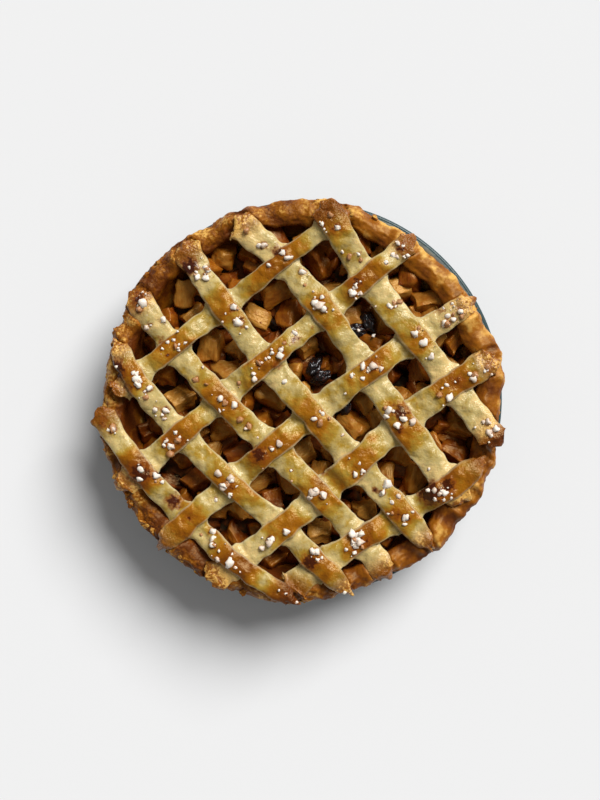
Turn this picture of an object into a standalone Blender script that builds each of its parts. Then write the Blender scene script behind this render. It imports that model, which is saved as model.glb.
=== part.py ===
"""A lattice apple pie in its round glazed dish.

The frame is the dish's own: +Z up, with the origin in the middle of the dish's flat base. Eleven strips
of pastry are woven over a filling of apple pieces and raisins. Seen from above with +Y up the page, six
of them run down to the right and five run up to the right.
"""

import math
import random
from bisect import bisect

import bmesh
import bpy
from mathutils import Euler, Vector, noise
from mathutils.geometry import intersect_line_line_2d

MM = 0.001

# The dish: a flat base, a flared wall and a rounded lip.
DISH_RADIUS = 125 * MM
DISH_HEIGHT = 40 * MM
BASE_RADIUS = 92 * MM
FLOOR_RADIUS = 88 * MM
FLOOR_HEIGHT = 5 * MM
KNEE_OUT = 7 * MM
KNEE_RISE = 5 * MM
LIP_WIDTH = 4.5 * MM
LIP_ROUND = 1.2 * MM
DISH_STEPS = 40

# The crust lines the dish and stands up as a rim. It was laid a little off the dish's centre, and one
# stretch of it shrank back inside the lip.
CLEARANCE = 0.5 * MM
CRUST_STEPS = 2 * DISH_STEPS
CRUST_THICKNESS = 4.5 * MM
CRUST_RADIUS = 124.8 * MM
CRUST_SHIFT = Vector((-3 * MM, -1.8 * MM))
RIM_HEIGHT = 7.5 * MM
RIM_WIDTH = 14 * MM
RIM_SWELL = 1.8 * MM
RIM_CRAG = 1.6 * MM
SHRUNK_ANGLE = math.radians(50)
SHRUNK_SPREAD = math.radians(24)
SHRUNK_BY = 3 * MM

# Crumbs of crust that stuck to the rim's outer edge: the angle in degrees, and the radius in millimetres.
CRUMBS = ((69, 1.7), (86, 2.2), (152, 2.6), (160, 3), (164, 2), (211, 2.4))

# The filling: a core that the apple pieces and the raisins are sunk in.
FILLING_EDGE = 32 * MM
FILLING_MIDDLE = 28 * MM
FILLING_STEPS = 24
PIECE_PITCH = 20 * MM
PIECE_SIZE = Vector((17 * MM, 12.5 * MM, 12 * MM))
PIECE_LEVEL = 32 * MM
PIECES_WITHIN = 96 * MM
RAISIN_SIZE = Vector((15 * MM, 9 * MM, 8 * MM))
RAISIN_LEVEL = 38 * MM
RAISINS_MM = ((6, 20), (10, 13), (34, 43), (40, 49), (26, -6), (81, -65), (-17, 48))
APPLE_SEED = 5

# The lattice. Each strip is a cubic through four points of its middle line, and a width, in millimetres.
STRIPS_DOWN_MM = (
    (((-131, -4), (-95, -53), (-52, -95), (-3, -127)), 13.8),
    (((-120, 38), (-78, -22), (-24, -73), (30, -124)), 14.4),
    (((-108, 68), (-58, 5), (0, -51), (53, -114)), 15.6),
    (((-77, 97), (-29, 29), (26, -34), (81, -96)), 16.2),
    (((-46, 112), (11, 56), (55, -7), (103, -66)), 16.9),
    (((11, 122), (44, 69), (82, 21), (120, -30)), 16.9),
)
STRIPS_UP_MM = (
    (((-120, 0), (-75, 38), (-24, 78), (26, 117)), 12.5),
    (((-118, -58), (-56, -4), (7, 49), (70, 101)), 14.4),
    (((-93, -95), (-29, -38), (37, 15), (108, 62)), 15.6),
    (((-61, -114), (1, -68), (58, -18), (121, 26)), 16.9),
    (((-12, -121), (30, -91), (74, -65), (114, -36)), 15.6),
)
# The pairs of strips, numbered from the left, that break the weave where both of them end.
ENDS_ON_TOP = {(1, 5)}
STRIP_THICKNESS = 4 * MM
WEAVE_GAP = 0.5 * MM
LATTICE_EDGE = 48.2 * MM
LATTICE_RISE = 3 * MM
LATTICE_RADIUS = 110 * MM
STATION_STEP = 9 * MM
END_STEP = 4 * MM
END_LENGTH = 16 * MM
END_RAG = 2.4 * MM
RUN_OUT = 14 * MM

# Pearl sugar lies in spills: how far along the strip each one is, and its number of grains.
SUGAR_DOWN = (
    ((0.1, 3), (0.32, 4), (0.51, 6), (0.62, 6), (0.7, 4), (0.94, 2)),
    ((0.12, 5), (0.16, 8), (0.26, 4), (0.52, 9), (0.84, 5), (0.97, 2)),
    ((0.04, 4), (0.11, 3), (0.28, 3), (0.37, 5), (0.45, 3), (0.61, 1), (0.7, 5)),
    ((0.1, 8), (0.24, 6), (0.43, 1), (0.57, 5), (0.65, 2), (0.79, 2), (0.86, 7)),
    ((0.09, 3), (0.24, 3), (0.34, 7), (0.58, 1), (0.7, 8), (0.83, 1)),
    ((0.09, 4), (0.2, 5), (0.42, 5), (0.58, 7), (0.93, 5)),
)
SUGAR_UP = (
    ((0.26, 7), (0.73, 4)),
    ((0.19, 8), (0.42, 1), (0.47, 5), (0.54, 6), (0.65, 3), (0.8, 8), (0.93, 7)),
    ((0.18, 1), (0.33, 1), (0.41, 3), (0.6, 2), (0.69, 6), (0.75, 1), (0.92, 10)),
    ((0.2, 6), (0.53, 4), (0.84, 4), (0.93, 6)),
    ((0.28, 2), (0.36, 12), (0.76, 8)),
)
SPILL_LENGTH = 4.5 * MM
GRAIN_RADIUS = (0.7 * MM, 1.9 * MM)
SMALLEST_SOLID_GRAIN = 1.5 * MM

COLOURS = {
    "glaze": ((0.075, 0.105, 0.105), 0.25),
    "crust": ((0.46, 0.22, 0.06), 0.6),
    "lattice": ((0.62, 0.42, 0.15), 0.5),
    "filling": ((0.20, 0.085, 0.02), 0.35),
}


def clear_scene():
    for old in list(bpy.data.objects):
        bpy.data.objects.remove(old)


def make_material(name):
    colour, roughness = COLOURS[name]
    material = bpy.data.materials.new(name)
    material.use_nodes = True
    shader = material.node_tree.nodes["Principled BSDF"]
    shader.inputs["Base Color"].default_value = (*colour, 1)
    shader.inputs["Roughness"].default_value = roughness
    shader.inputs["Metallic"].default_value = 0
    return material


def add_object(name, shape, collection=None):
    """Turns a bmesh into an object with its faces pointing out."""
    bmesh.ops.recalc_face_normals(shape, faces=shape.faces)
    mesh = bpy.data.meshes.new(name)
    shape.to_mesh(mesh)
    shape.free()
    made = bpy.data.objects.new(name, mesh)
    (collection or bpy.context.scene.collection).objects.link(made)
    return made


def finish(made, material):
    """Shades an object smooth between its sharp edges and gives it its one material."""
    made.data.shade_smooth()
    made.data.set_sharp_from_angle(angle=math.radians(40))
    made.data.materials.clear()
    made.data.materials.append(material)


def smooth(share):
    share = min(1.0, max(0.0, share))
    return share * share * (3 - 2 * share)


def wobble(x, y, z=0.0):
    """Smooth noise from about -1 to 1, the same on each run."""
    return 2 * noise.noise(Vector((x, y, z)))


def turned_solid(name, profile_at, steps):
    """A closed solid of rings round the Z axis. profile_at(angle) gives (radius, height) from the lower
    pole, out and round to the upper pole."""
    shape = bmesh.new()
    rings = []
    for step in range(steps):
        angle = 2 * math.pi * step / steps
        profile = profile_at(angle)
        rings.append([shape.verts.new((r * math.cos(angle), r * math.sin(angle), z)) for r, z in profile[1:-1]])
    low = shape.verts.new((0, 0, profile[0][1]))
    high = shape.verts.new((0, 0, profile[-1][1]))
    for here, after in zip(rings, rings[1:] + rings[:1]):
        shape.faces.new((low, after[0], here[0]))
        shape.faces.new((high, here[-1], after[-1]))
        for row in range(len(here) - 1):
            shape.faces.new((here[row], after[row], after[row + 1], here[row + 1]))
    return add_object(name, shape)


def keep_outer_shell(mesh):
    """Drops loose scraps and the walls of sealed hollows, so that one closed shell is left."""
    shape = bmesh.new()
    shape.from_mesh(mesh)
    bmesh.ops.remove_doubles(shape, verts=shape.verts, dist=0.0001 * MM)
    unseen = set(shape.verts)
    shells = []
    while unseen:
        shell = {unseen.pop()}
        front = list(shell)
        while front:
            vert = front.pop()
            beside = {edge.other_vert(vert) for edge in vert.link_edges} & unseen
            unseen -= beside
            shell |= beside
            front += beside
        shells.append(shell)
    shells.sort(key=len)
    for scrap in shells[:-1]:
        bmesh.ops.delete(shape, geom=list(scrap), context="VERTS")
    bmesh.ops.triangulate(shape, faces=shape.faces)
    shape.to_mesh(mesh)
    shape.free()


def fuse(target, pieces):
    """Joins a collection of pieces to the target with one Boolean union, and removes them."""
    union = target.modifiers.new("pieces", "BOOLEAN")
    union.operation = "UNION"
    union.operand_type = "COLLECTION"
    union.solver = "EXACT"
    union.collection = pieces
    bpy.context.view_layer.update()
    graph = bpy.context.evaluated_depsgraph_get()
    fused = bpy.data.meshes.new_from_object(target.evaluated_get(graph))
    target.modifiers.clear()
    target.data = fused
    for piece in list(pieces.objects):
        bpy.data.objects.remove(piece)
    bpy.data.collections.remove(pieces)
    keep_outer_shell(fused)


def new_collection(name):
    made = bpy.data.collections.new(name)
    bpy.context.scene.collection.children.link(made)
    return made


def place_shape(shape, turn, centre):
    bmesh.ops.rotate(shape, cent=(0, 0, 0), matrix=Euler(turn).to_matrix(), verts=shape.verts)
    bmesh.ops.translate(shape, vec=centre, verts=shape.verts)


def add_lump(collection, centre, size, turn, subdivisions):
    """A rough rounded lump: an icosphere made uneven, stretched, turned and put in its place."""
    shape = bmesh.new()
    bmesh.ops.create_icosphere(shape, subdivisions=subdivisions, radius=0.5)
    for vert in shape.verts:
        uneven = 1 + 0.2 * wobble(*(vert.co * 3 + centre * 300))
        vert.co = Vector(along * extent * uneven for along, extent in zip(vert.co, size))
    place_shape(shape, turn, centre)
    return add_object("lump", shape, collection)


def wall_radius(height):
    """The radius of the dish's inner wall between its knee and its lip."""
    low = FLOOR_HEIGHT + KNEE_RISE
    share = (height - low) / (DISH_HEIGHT - LIP_ROUND - low)
    knee = FLOOR_RADIUS + KNEE_OUT
    return knee + (DISH_RADIUS - LIP_WIDTH - knee) * share


def dish_profile(_angle):
    return [
        (0, 0),
        (BASE_RADIUS - LIP_ROUND, 0),
        (BASE_RADIUS, LIP_ROUND),
        (DISH_RADIUS - LIP_ROUND, DISH_HEIGHT - 3 * LIP_ROUND),
        (DISH_RADIUS, DISH_HEIGHT - 2 * LIP_ROUND),
        (DISH_RADIUS - 0.5 * LIP_ROUND, DISH_HEIGHT - 0.5 * LIP_ROUND),
        (DISH_RADIUS - 2 * LIP_ROUND, DISH_HEIGHT),
        (DISH_RADIUS - LIP_WIDTH, DISH_HEIGHT - LIP_ROUND),
        (FLOOR_RADIUS + KNEE_OUT, FLOOR_HEIGHT + KNEE_RISE),
        (FLOOR_RADIUS, FLOOR_HEIGHT),
        (0, FLOOR_HEIGHT),
    ]


def edge_radius(angle):
    """How far the crust's outer edge is from the dish's axis."""
    out = Vector((math.cos(angle), math.sin(angle)))
    turn = (angle - SHRUNK_ANGLE + math.pi) % (2 * math.pi) - math.pi
    shrunk = SHRUNK_BY * math.exp(-((turn / SHRUNK_SPREAD) ** 2))
    swell = RIM_SWELL * wobble(out.x * 2.6, out.y * 2.6, 3.1)
    crag = RIM_CRAG * wobble(out.x * 7, out.y * 7, 7.7)
    return CRUST_RADIUS + out.dot(CRUST_SHIFT) - shrunk + swell + crag


def rim_outline(angle):
    """The crust's upper side as (radius, height), from its outer edge in to where the filling meets it."""
    out = Vector((math.cos(angle), math.sin(angle)))
    edge = edge_radius(angle)
    rise = RIM_HEIGHT * (1 + 0.2 * wobble(out.x * 5, out.y * 5, 11.3))
    return [
        (edge, DISH_HEIGHT + 0.36 * rise),
        (edge - 2.5 * MM, DISH_HEIGHT + 0.76 * rise),
        (edge - 6.5 * MM, DISH_HEIGHT + rise),
        (edge - 0.8 * RIM_WIDTH, DISH_HEIGHT + 0.8 * rise),
        (edge - RIM_WIDTH, DISH_HEIGHT + 0.4 * rise),
        (wall_radius(FILLING_EDGE) - CRUST_THICKNESS, FILLING_EDGE),
    ]


RIM_OUTLINES = [rim_outline(2 * math.pi * step / CRUST_STEPS) for step in range(CRUST_STEPS)]


def crust_profile(angle):
    outline = RIM_OUTLINES[round(angle * CRUST_STEPS / (2 * math.pi))]
    edge = outline[0][0]
    low = FLOOR_HEIGHT + CLEARANCE
    below_lip = DISH_HEIGHT - 3 * MM
    turn_over = min(DISH_RADIUS - LIP_WIDTH - CLEARANCE, edge - 0.3 * MM)
    return [
        (0, low),
        (FLOOR_RADIUS - 2 * CLEARANCE, low),
        (wall_radius(11 * MM) - CLEARANCE, 11 * MM),
        (wall_radius(below_lip) - CLEARANCE, below_lip),
        (turn_over, DISH_HEIGHT + CLEARANCE),
        (max(edge - 1 * MM, turn_over + 0.1 * MM), DISH_HEIGHT + 1.6 * CLEARANCE),
        *outline,
        (wall_radius(16 * MM) - CRUST_THICKNESS, 16 * MM),
        (FLOOR_RADIUS - CRUST_THICKNESS, low + CRUST_THICKNESS),
        (0, low + CRUST_THICKNESS),
    ]


def crust_height(place):
    """The height of the crust's upper side under a point, read between the outlines beside it and
    falling away outside its edge."""
    turn = math.atan2(place.y, place.x) % (2 * math.pi) * CRUST_STEPS / (2 * math.pi)
    step = int(turn)
    share = turn - step
    here, after = RIM_OUTLINES[step % CRUST_STEPS], RIM_OUTLINES[(step + 1) % CRUST_STEPS]
    outline = [Vector(a).lerp(Vector(b), share) for a, b in zip(here, after)]
    radius = place.length
    if radius >= outline[0].x:
        return outline[0].y - 0.7 * (radius - outline[0].x)
    for outer, inner in zip(outline, outline[1:]):
        if radius >= inner.x:
            return inner.y + (outer.y - inner.y) * (radius - inner.x) / (outer.x - inner.x)
    return 0.0


def build_dish(material):
    finish(turned_solid("dish", dish_profile, DISH_STEPS), material)


def build_crust(material):
    crust = turned_solid("crust", crust_profile, CRUST_STEPS)
    crumbs = new_collection("crumbs")
    for degrees, radius_mm in CRUMBS:
        angle = math.radians(degrees)
        reach = edge_radius(angle) - 0.2 * radius_mm * MM
        centre = Vector((reach * math.cos(angle), reach * math.sin(angle), DISH_HEIGHT + 0.6 * RIM_HEIGHT))
        size = Vector((2.4, 1.7, 1.5)) * radius_mm * MM
        add_lump(crumbs, centre, size, (0.4, 0.3, angle + 1.1), 1)
    fuse(crust, crumbs)
    finish(crust, material)


def filling_profile(angle):
    gap = CRUST_THICKNESS + 1.2 * CLEARANCE
    low = FLOOR_HEIGHT + CRUST_THICKNESS + 2 * CLEARANCE
    out = Vector((math.cos(angle), math.sin(angle)))
    shoulder = FILLING_EDGE - 2 * MM
    edge = wall_radius(shoulder) - gap - CLEARANCE

    def surface(share):
        bump = 1.2 * MM * wobble(out.x * share * 5, out.y * share * 5, 4.2)
        fall = (shoulder - FILLING_MIDDLE - 0.5 * MM) * share**4
        return (edge * share, FILLING_MIDDLE + fall + bump)

    return [
        (0, low),
        (FLOOR_RADIUS - gap - CLEARANCE, low),
        (wall_radius(16 * MM) - gap - CLEARANCE, 16 * MM),
        (edge, shoulder),
        *(surface(share) for share in (0.8, 0.45)),
        (0, FILLING_MIDDLE),
    ]


def add_apple_piece(collection, centre, draw):
    """A piece cut from an apple: a block whose corners are drawn in and set askew."""
    shape = bmesh.new()
    bmesh.ops.create_cube(shape, size=1)
    taper = draw.uniform(0.55, 0.85)
    for vert in shape.verts:
        askew = Vector(draw.uniform(-0.08, 0.08) for _ in range(3))
        vert.co = Vector(along * extent for along, extent in zip(vert.co + askew, PIECE_SIZE))
        if vert.co.z > 0:
            vert.co.y *= taper
    bmesh.ops.scale(shape, vec=Vector.Fill(3, draw.uniform(0.85, 1.05)), verts=shape.verts)
    place_shape(shape, [draw.gauss(0, 0.35), draw.gauss(0, 0.25), draw.uniform(0, math.tau)], centre)
    add_object("piece", shape, collection)


def build_filling(material):
    filling = turned_solid("filling", filling_profile, FILLING_STEPS)
    pieces = new_collection("pieces")
    draw = random.Random(APPLE_SEED)
    rows = int(PIECES_WITHIN / (PIECE_PITCH * math.sqrt(0.75)))
    for row in range(-rows, rows + 1):
        for column in range(-rows - 2, rows + 3):
            place = Vector((column + 0.5 * (row % 2), row * math.sqrt(0.75))) * PIECE_PITCH
            place += Vector((draw.uniform(-1.5, 1.5), draw.uniform(-1.5, 1.5))) * MM
            lift = draw.uniform(-2.5, 1.5) * MM
            if place.length < PIECES_WITHIN:
                add_apple_piece(pieces, Vector((*place, PIECE_LEVEL + lift)), draw)
    for number, (x, y) in enumerate(RAISINS_MM):
        centre = Vector((x * MM, y * MM, RAISIN_LEVEL))
        add_lump(pieces, centre, RAISIN_SIZE, (0, 0.2, 1.1 + 2.4 * number), 2)
    fuse(filling, pieces)
    finish(filling, material)


class Strip:
    """One strip of the lattice: its middle line, its width, and its height where it crosses the others."""

    SEGMENTS = 60
    BEYOND = 5

    def __init__(self, name, number, points_mm, width_mm, spills):
        self.name = name
        self.number = number
        self.width = width_mm * MM
        self.spills = spills
        self.crossings = []
        corners = [Vector(point) * MM for point in points_mm]
        steps = range(-self.BEYOND, self.SEGMENTS + self.BEYOND + 1)
        self.line = [self.cubic(corners, step / self.SEGMENTS) for step in steps]
        marks = [0.0]
        for here, after in zip(self.line, self.line[1:]):
            marks.append(marks[-1] + (after - here).length)
        self.marks = [mark - marks[self.BEYOND] for mark in marks]
        self.length = self.marks[-1 - self.BEYOND]

    @staticmethod
    def cubic(corners, u):
        """The point at u, from 0 to 1, of the cubic that passes through four points evenly."""
        weights = (
            (1 - 3 * u) * (2 - 3 * u) * (1 - u) / 2,
            9 * u * (2 - 3 * u) * (1 - u) / 2,
            9 * u * (3 * u - 1) * (1 - u) / 2,
            u * (3 * u - 1) * (3 * u - 2) / 2,
        )
        return sum((corner * weight for corner, weight in zip(corners, weights)), Vector((0, 0)))

    def at(self, distance):
        """The middle line's point and direction at a distance from the strip's first end."""
        index = min(max(bisect(self.marks, distance) - 1, 0), len(self.line) - 2)
        direction = (self.line[index + 1] - self.line[index]).normalized()
        return self.line[index] + direction * (distance - self.marks[index]), direction

    def place(self, distance, across):
        """The point a number of half widths to the left of the middle line."""
        point, direction = self.at(distance)
        return point + Vector((-direction.y, direction.x)) * across * self.half_width(distance)

    def from_end(self, distance):
        return min(distance, self.length - distance)

    def half_width(self, distance):
        """Half the strip's width, uneven as it was cut, and pressed wider where it meets the rim."""
        uneven = 1 + 0.11 * wobble(distance / (26 * MM), self.number * 5.3)
        pressed = 1 + 0.16 * (1 - smooth(self.from_end(distance) / (18 * MM)))
        tip = 0.75 + 0.25 * smooth((self.from_end(distance) + 1 * MM) / (5 * MM))
        return self.width / 2 * uneven * pressed * tip

    def thickness(self, distance):
        """The strip's thickness, which thins at its pressed ends."""
        return STRIP_THICKNESS * (0.62 + 0.38 * smooth((self.from_end(distance) + 2 * MM) / (9 * MM)))

    def bed(self, distance):
        """The lowest height at which the strip's underside clears the crust."""
        along = (distance + near for near in (-3 * MM, 0, 3 * MM))
        places = [self.place(near, across) for near in along for across in (-1.1, -0.5, 0, 0.5, 1.1)]
        return max(map(crust_height, places)) + CLEARANCE

    def free_height(self, distance):
        """The underside's height where no other strip lifts it."""
        radius = self.at(distance)[0].length
        return max(dome_height(radius) - STRIP_THICKNESS / 2, self.bed(distance))

    def height(self, distance):
        """The height of the strip's underside."""
        before = after = None
        for low, high, level, _ in self.crossings:
            if low <= distance <= high:
                return max(level, self.bed(distance))
            if high < distance:
                before = (high, level)
            elif after is None:
                after = (low, level)
        if before and after:
            share = smooth((distance - before[0]) / (after[0] - before[0]))
            level = before[1] + (after[1] - before[1]) * share
        else:
            edge, level = before or after
            share = smooth(abs(distance - edge) / RUN_OUT)
            level += (self.free_height(distance) - level) * share
        return max(level, self.bed(distance))

    def stations(self):
        """Distances along the strip at which it has a ring of points."""
        knots = {0.0, END_LENGTH, self.length - END_LENGTH, self.length}
        for low, high, _, _ in self.crossings:
            knots |= {low, (low + high) / 2, high}
        knots = sorted(knot for knot in knots if 0 <= knot <= self.length)
        knots = [a for a, b in zip(knots, knots[1:]) if b - a > 2 * MM] + [self.length]
        found = []
        for a, b in zip(knots, knots[1:]):
            step = END_STEP if self.from_end((a + b) / 2) < END_LENGTH else STATION_STEP
            count = max(1, round((b - a) / step))
            found += [a + (b - a) * part / count for part in range(count)]
        return found + [self.length]


def dome_height(radius):
    """The middle height of the lattice, which the filling holds up a little at the pie's centre."""
    sag = 1.2 * max(0, radius - LATTICE_RADIUS)
    return LATTICE_EDGE + LATTICE_RISE * (1 - min(1, radius / LATTICE_RADIUS) ** 2) - sag


def find_crossing(down, up):
    """Where two middle lines cross: the distance along each, and the point."""
    for i in range(len(down.line) - 1):
        for j in range(len(up.line) - 1):
            point = intersect_line_line_2d(*down.line[i : i + 2], *up.line[j : j + 2])
            if point:
                return (
                    down.marks[i] + (point - down.line[i]).length,
                    up.marks[j] + (point - up.line[j]).length,
                    point,
                )
    return None


def weave(downs, ups):
    """Sets each strip's level at its crossings. They take turns on top, and the strip below lies at the
    lattice's own height or on the crust."""
    for down in downs:
        for up in ups:
            found = find_crossing(down, up)
            if not found:
                continue
            along_down, along_up, point = found
            crossed = [(down, along_down, reach_over(up, along_up)), (up, along_up, reach_over(down, along_down))]
            if (down.number + up.number) % 2 == 1 or (down.number, up.number) in ENDS_ON_TOP:
                crossed.reverse()
            (lower, along, reach), (upper, along_upper, reach_upper) = crossed
            on_crust = max(lower.bed(along + part * reach) for part in (-1, -0.5, 0, 0.5, 1))
            level = max(dome_height(point.length) - STRIP_THICKNESS - WEAVE_GAP / 2, on_crust)
            lower.crossings.append((along - reach, along + reach, level, False))
            level += STRIP_THICKNESS + WEAVE_GAP
            upper.crossings.append((along_upper - reach_upper, along_upper + reach_upper, level, True))
    for strip in downs + ups:
        strip.crossings.sort()


def reach_over(other, along_other):
    """How far to each side of a crossing a strip keeps its level: past the other strip's edges."""
    return other.half_width(along_other) + 2.5 * MM


# The strip's section as half widths across and thicknesses up, from a flat underside to round shoulders.
STRIP_SECTION = ((-0.84, 0), (0.84, 0), (1, 0.45), (0.7, 0.97), (-0.7, 0.97), (-1, 0.45))


def strip_ring(strip, distance):
    """The points of the strip's section at one station, set askew at a torn end."""
    height = strip.height(distance)
    side = 1 if distance > strip.length / 2 else -1
    torn = END_RAG * (1 - smooth(strip.from_end(distance) / (2 * END_STEP)))
    points = []
    for across, up in STRIP_SECTION:
        rag = side * torn * wobble(across * 1.4, strip.number * 3.7, side * 2.2)
        place = strip.place(distance, across) + strip.at(distance)[1] * rag
        points.append((place.x, place.y, height + up * strip.thickness(distance)))
    return points


def strip_solid(strip):
    shape = bmesh.new()
    rings = [[shape.verts.new(point) for point in strip_ring(strip, distance)] for distance in strip.stations()]
    for here, after in zip(rings, rings[1:]):
        for side in range(len(here)):
            beside = (side + 1) % len(here)
            shape.faces.new((here[side], after[side], after[beside], here[beside]))
    shape.faces.new(rings[0])
    shape.faces.new(rings[-1])
    return add_object(strip.name, shape)


def sugar_grains(strip):
    """Every grain of pearl sugar on a strip, as its centre, its size and its turn."""
    draw = random.Random(strip.name)
    grains = []
    for share, count in strip.spills:
        for _ in range(count):
            distance = share * strip.length + draw.gauss(0, SPILL_LENGTH)
            across = max(-0.75, min(0.75, draw.gauss(0, 0.42)))
            radius = GRAIN_RADIUS[0] + (GRAIN_RADIUS[1] - GRAIN_RADIUS[0]) * draw.random() ** 1.5
            size = Vector(2 * radius * draw.uniform(0.8, 1.2) for _ in range(3))
            turn = [draw.uniform(0, math.tau) for _ in range(3)]
            under = any(low - radius < distance < high + radius and not top for low, high, _, top in strip.crossings)
            if under or strip.from_end(distance) < 2 * MM:
                continue
            top = strip.height(distance) + strip.thickness(distance) * 0.97
            grains.append((Vector((*strip.place(distance, across), top + 0.2 * radius)), size, turn, radius))
    return grains


def build_strip(strip, material):
    made = strip_solid(strip)
    grains = new_collection("grains")
    for centre, size, turn, radius in sugar_grains(strip):
        if radius > SMALLEST_SOLID_GRAIN:
            add_lump(grains, centre, size, turn, 1)
    fuse(made, grains)
    finish(made, material)


def make_strips(letter, shapes, sugar):
    return [
        Strip(f"strip_{letter}{number}", number, points, width, spills)
        for number, ((points, width), spills) in enumerate(zip(shapes, sugar), start=1)
    ]


def main():
    clear_scene()
    materials = {name: make_material(name) for name in COLOURS}
    build_dish(materials["glaze"])
    build_crust(materials["crust"])
    build_filling(materials["filling"])
    downs = make_strips("a", STRIPS_DOWN_MM, SUGAR_DOWN)
    ups = make_strips("b", STRIPS_UP_MM, SUGAR_UP)
    weave(downs, ups)
    for strip in downs + ups:
        build_strip(strip, materials["lattice"])


main()
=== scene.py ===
"""The looks of a lattice apple pie in its glazed dish.

Everything is in metres in the dish's own frame: +Z up, with the origin in the middle of its flat base,
and +Y up the page as the pie is looked down on.
"""

import math
import random
from bisect import bisect
from collections import namedtuple
from functools import cache

import bmesh
import bpy
from bpy.props import FloatProperty, FloatVectorProperty, IntProperty, PointerProperty
from bpy.types import Operator, Panel, PropertyGroup
from mathutils import Euler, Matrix, Vector, kdtree, noise
from mathutils.geometry import intersect_line_line_2d


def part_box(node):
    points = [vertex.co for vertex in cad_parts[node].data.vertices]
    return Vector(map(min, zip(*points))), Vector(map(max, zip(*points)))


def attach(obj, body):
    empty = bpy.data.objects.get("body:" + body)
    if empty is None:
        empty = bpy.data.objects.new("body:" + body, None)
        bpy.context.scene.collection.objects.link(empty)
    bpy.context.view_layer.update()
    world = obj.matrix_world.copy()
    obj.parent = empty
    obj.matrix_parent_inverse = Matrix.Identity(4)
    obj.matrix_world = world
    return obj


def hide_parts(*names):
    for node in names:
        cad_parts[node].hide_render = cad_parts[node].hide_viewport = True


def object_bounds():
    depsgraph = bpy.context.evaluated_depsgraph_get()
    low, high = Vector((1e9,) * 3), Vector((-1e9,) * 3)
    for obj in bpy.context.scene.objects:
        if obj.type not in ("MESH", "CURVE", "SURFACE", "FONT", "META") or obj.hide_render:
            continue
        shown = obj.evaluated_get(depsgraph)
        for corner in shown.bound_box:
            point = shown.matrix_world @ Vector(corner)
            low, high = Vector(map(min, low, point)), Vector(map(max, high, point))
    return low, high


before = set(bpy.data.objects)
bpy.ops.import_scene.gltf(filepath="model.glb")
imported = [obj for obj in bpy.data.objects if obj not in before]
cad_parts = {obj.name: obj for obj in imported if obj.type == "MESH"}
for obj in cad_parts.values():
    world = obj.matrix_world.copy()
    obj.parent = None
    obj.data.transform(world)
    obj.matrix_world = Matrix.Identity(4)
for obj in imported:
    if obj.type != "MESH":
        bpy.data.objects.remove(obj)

bl_info = {
    "name": "Lattice apple pie",
    "version": (1, 0, 0),
    "blender": (4, 5, 0),
    "location": "3D View > Sidebar > Pie",
    "description": "Models and finishes a lattice apple pie with pearl sugar in its glazed dish",
    "category": "Object",
}

MM = 0.001
CAD_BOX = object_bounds()
DISH_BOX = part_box("dish")


def linear(code):
    """The linear colour of an sRGB hex code."""
    parts = [int(code[at : at + 2], 16) / 255 for at in (0, 2, 4)]
    return tuple(part / 12.92 if part <= 0.04045 else ((part + 0.055) / 1.055) ** 2.4 for part in parts)


def size(name, description, default_mm):
    return FloatProperty(name=name, description=description, default=default_mm * MM, min=0, unit="LENGTH")


def colour(name, description, code):
    return FloatVectorProperty(
        name=name, description=description, default=linear(code), size=3, min=0, max=1, subtype="COLOR"
    )


# The dish and the crust that lines it.
DISH_SPIN = 180
FLOOR_RADIUS = 88 * MM
BASE_RADIUS = 92 * MM
FLOOR_HEIGHT = 5 * MM
KNEE_OUT = 7 * MM
KNEE_RISE = 5 * MM
LIP_WIDTH = 4.5 * MM
LIP_ROUND = 1.2 * MM
GLAZE_ROUND = 0.8 * MM
CLEARANCE = 0.5 * MM
OUTER_BEND = 11 * MM
INNER_BEND = 16 * MM
CRUST_STEPS = 80
CRUST_SHIFT = Vector((-3 * MM, -1.8 * MM))
RIM_SWELL = 1.8 * MM
RIM_CRAG = 1.6 * MM
SHRUNK_ANGLE = math.radians(50)
SHRUNK_SPREAD = math.radians(24)
SHRUNK_BY = 3 * MM
# How finely each stretch of the crust's profile is made, from below round its rim and down inside.
CRUST_PARTS = (1, 1, 2, 3, 4, 5, 7, 8, 8, 6, 8, 3, 1, 1)
CRUST_SPIN = 600
# Over how many rows of its vertices the outer flakes come, stay and go, and how many the side by the
# filling takes to turn smooth, and brown.
FLAKY_COME, FLAKY_STAY, FLAKY_GO = 5, 13, 12
INNER_ROWS = 14
WITHIN_ROWS, WITHIN_COME = 25, 13
# Where the crust hangs over the dish's lip: the angle in degrees, how far in millimetres, and over how
# many degrees.
OVERHANGS = (
    (-38, 4.2, 16), (-2, 2.4, 16), (17, 3.4, 10), (32, 2.2, 8), (44, 1, 8), (56, 2.6, 4), (79, 1.4, 6),
    (84, 1.5, 6), (91, 2.2, 9), (150, 1.6, 5), (162, 1.4, 5), (188, 1.6, 6), (226, 2, 10)
)
# Where the oven caught the rim, as places and radii in millimetres.
CAUGHT = (
    (-80.6, 96.3, 6), (-97.5, 76.3, 7), (-40.6, 116.3, 7), (-99.4, -83.8, 5), (-67.5, -110.6, 6),
    (-53, -115, 4), (-131, -15, 5), (118.8, 5, 6), (113.8, 28.8, 4), (100, -70, 5), (78, -98, 7),
    (96, -80, 4), (119, -22, 5), (23, 121, 3), (66, 101, 3), (-12, 121, 8), (-117, -40, 4),
    (40, -120, 4), (12, -125, 4)
)
# The pastry that the strips' ends squeeze up beside them.
PRESSED_MM = 28
SQUEEZED_RISE = 2 * MM
SQUEEZED_WIDTH = 4 * MM
FLAKES = 70
# Crumbs stuck to the rim's outer edge: the angle in degrees, and the radius in millimetres.
CRUMBS = ((69, 1.7), (86, 2.2), (152, 2.6), (160, 3), (164, 2), (211, 2.4))

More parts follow.
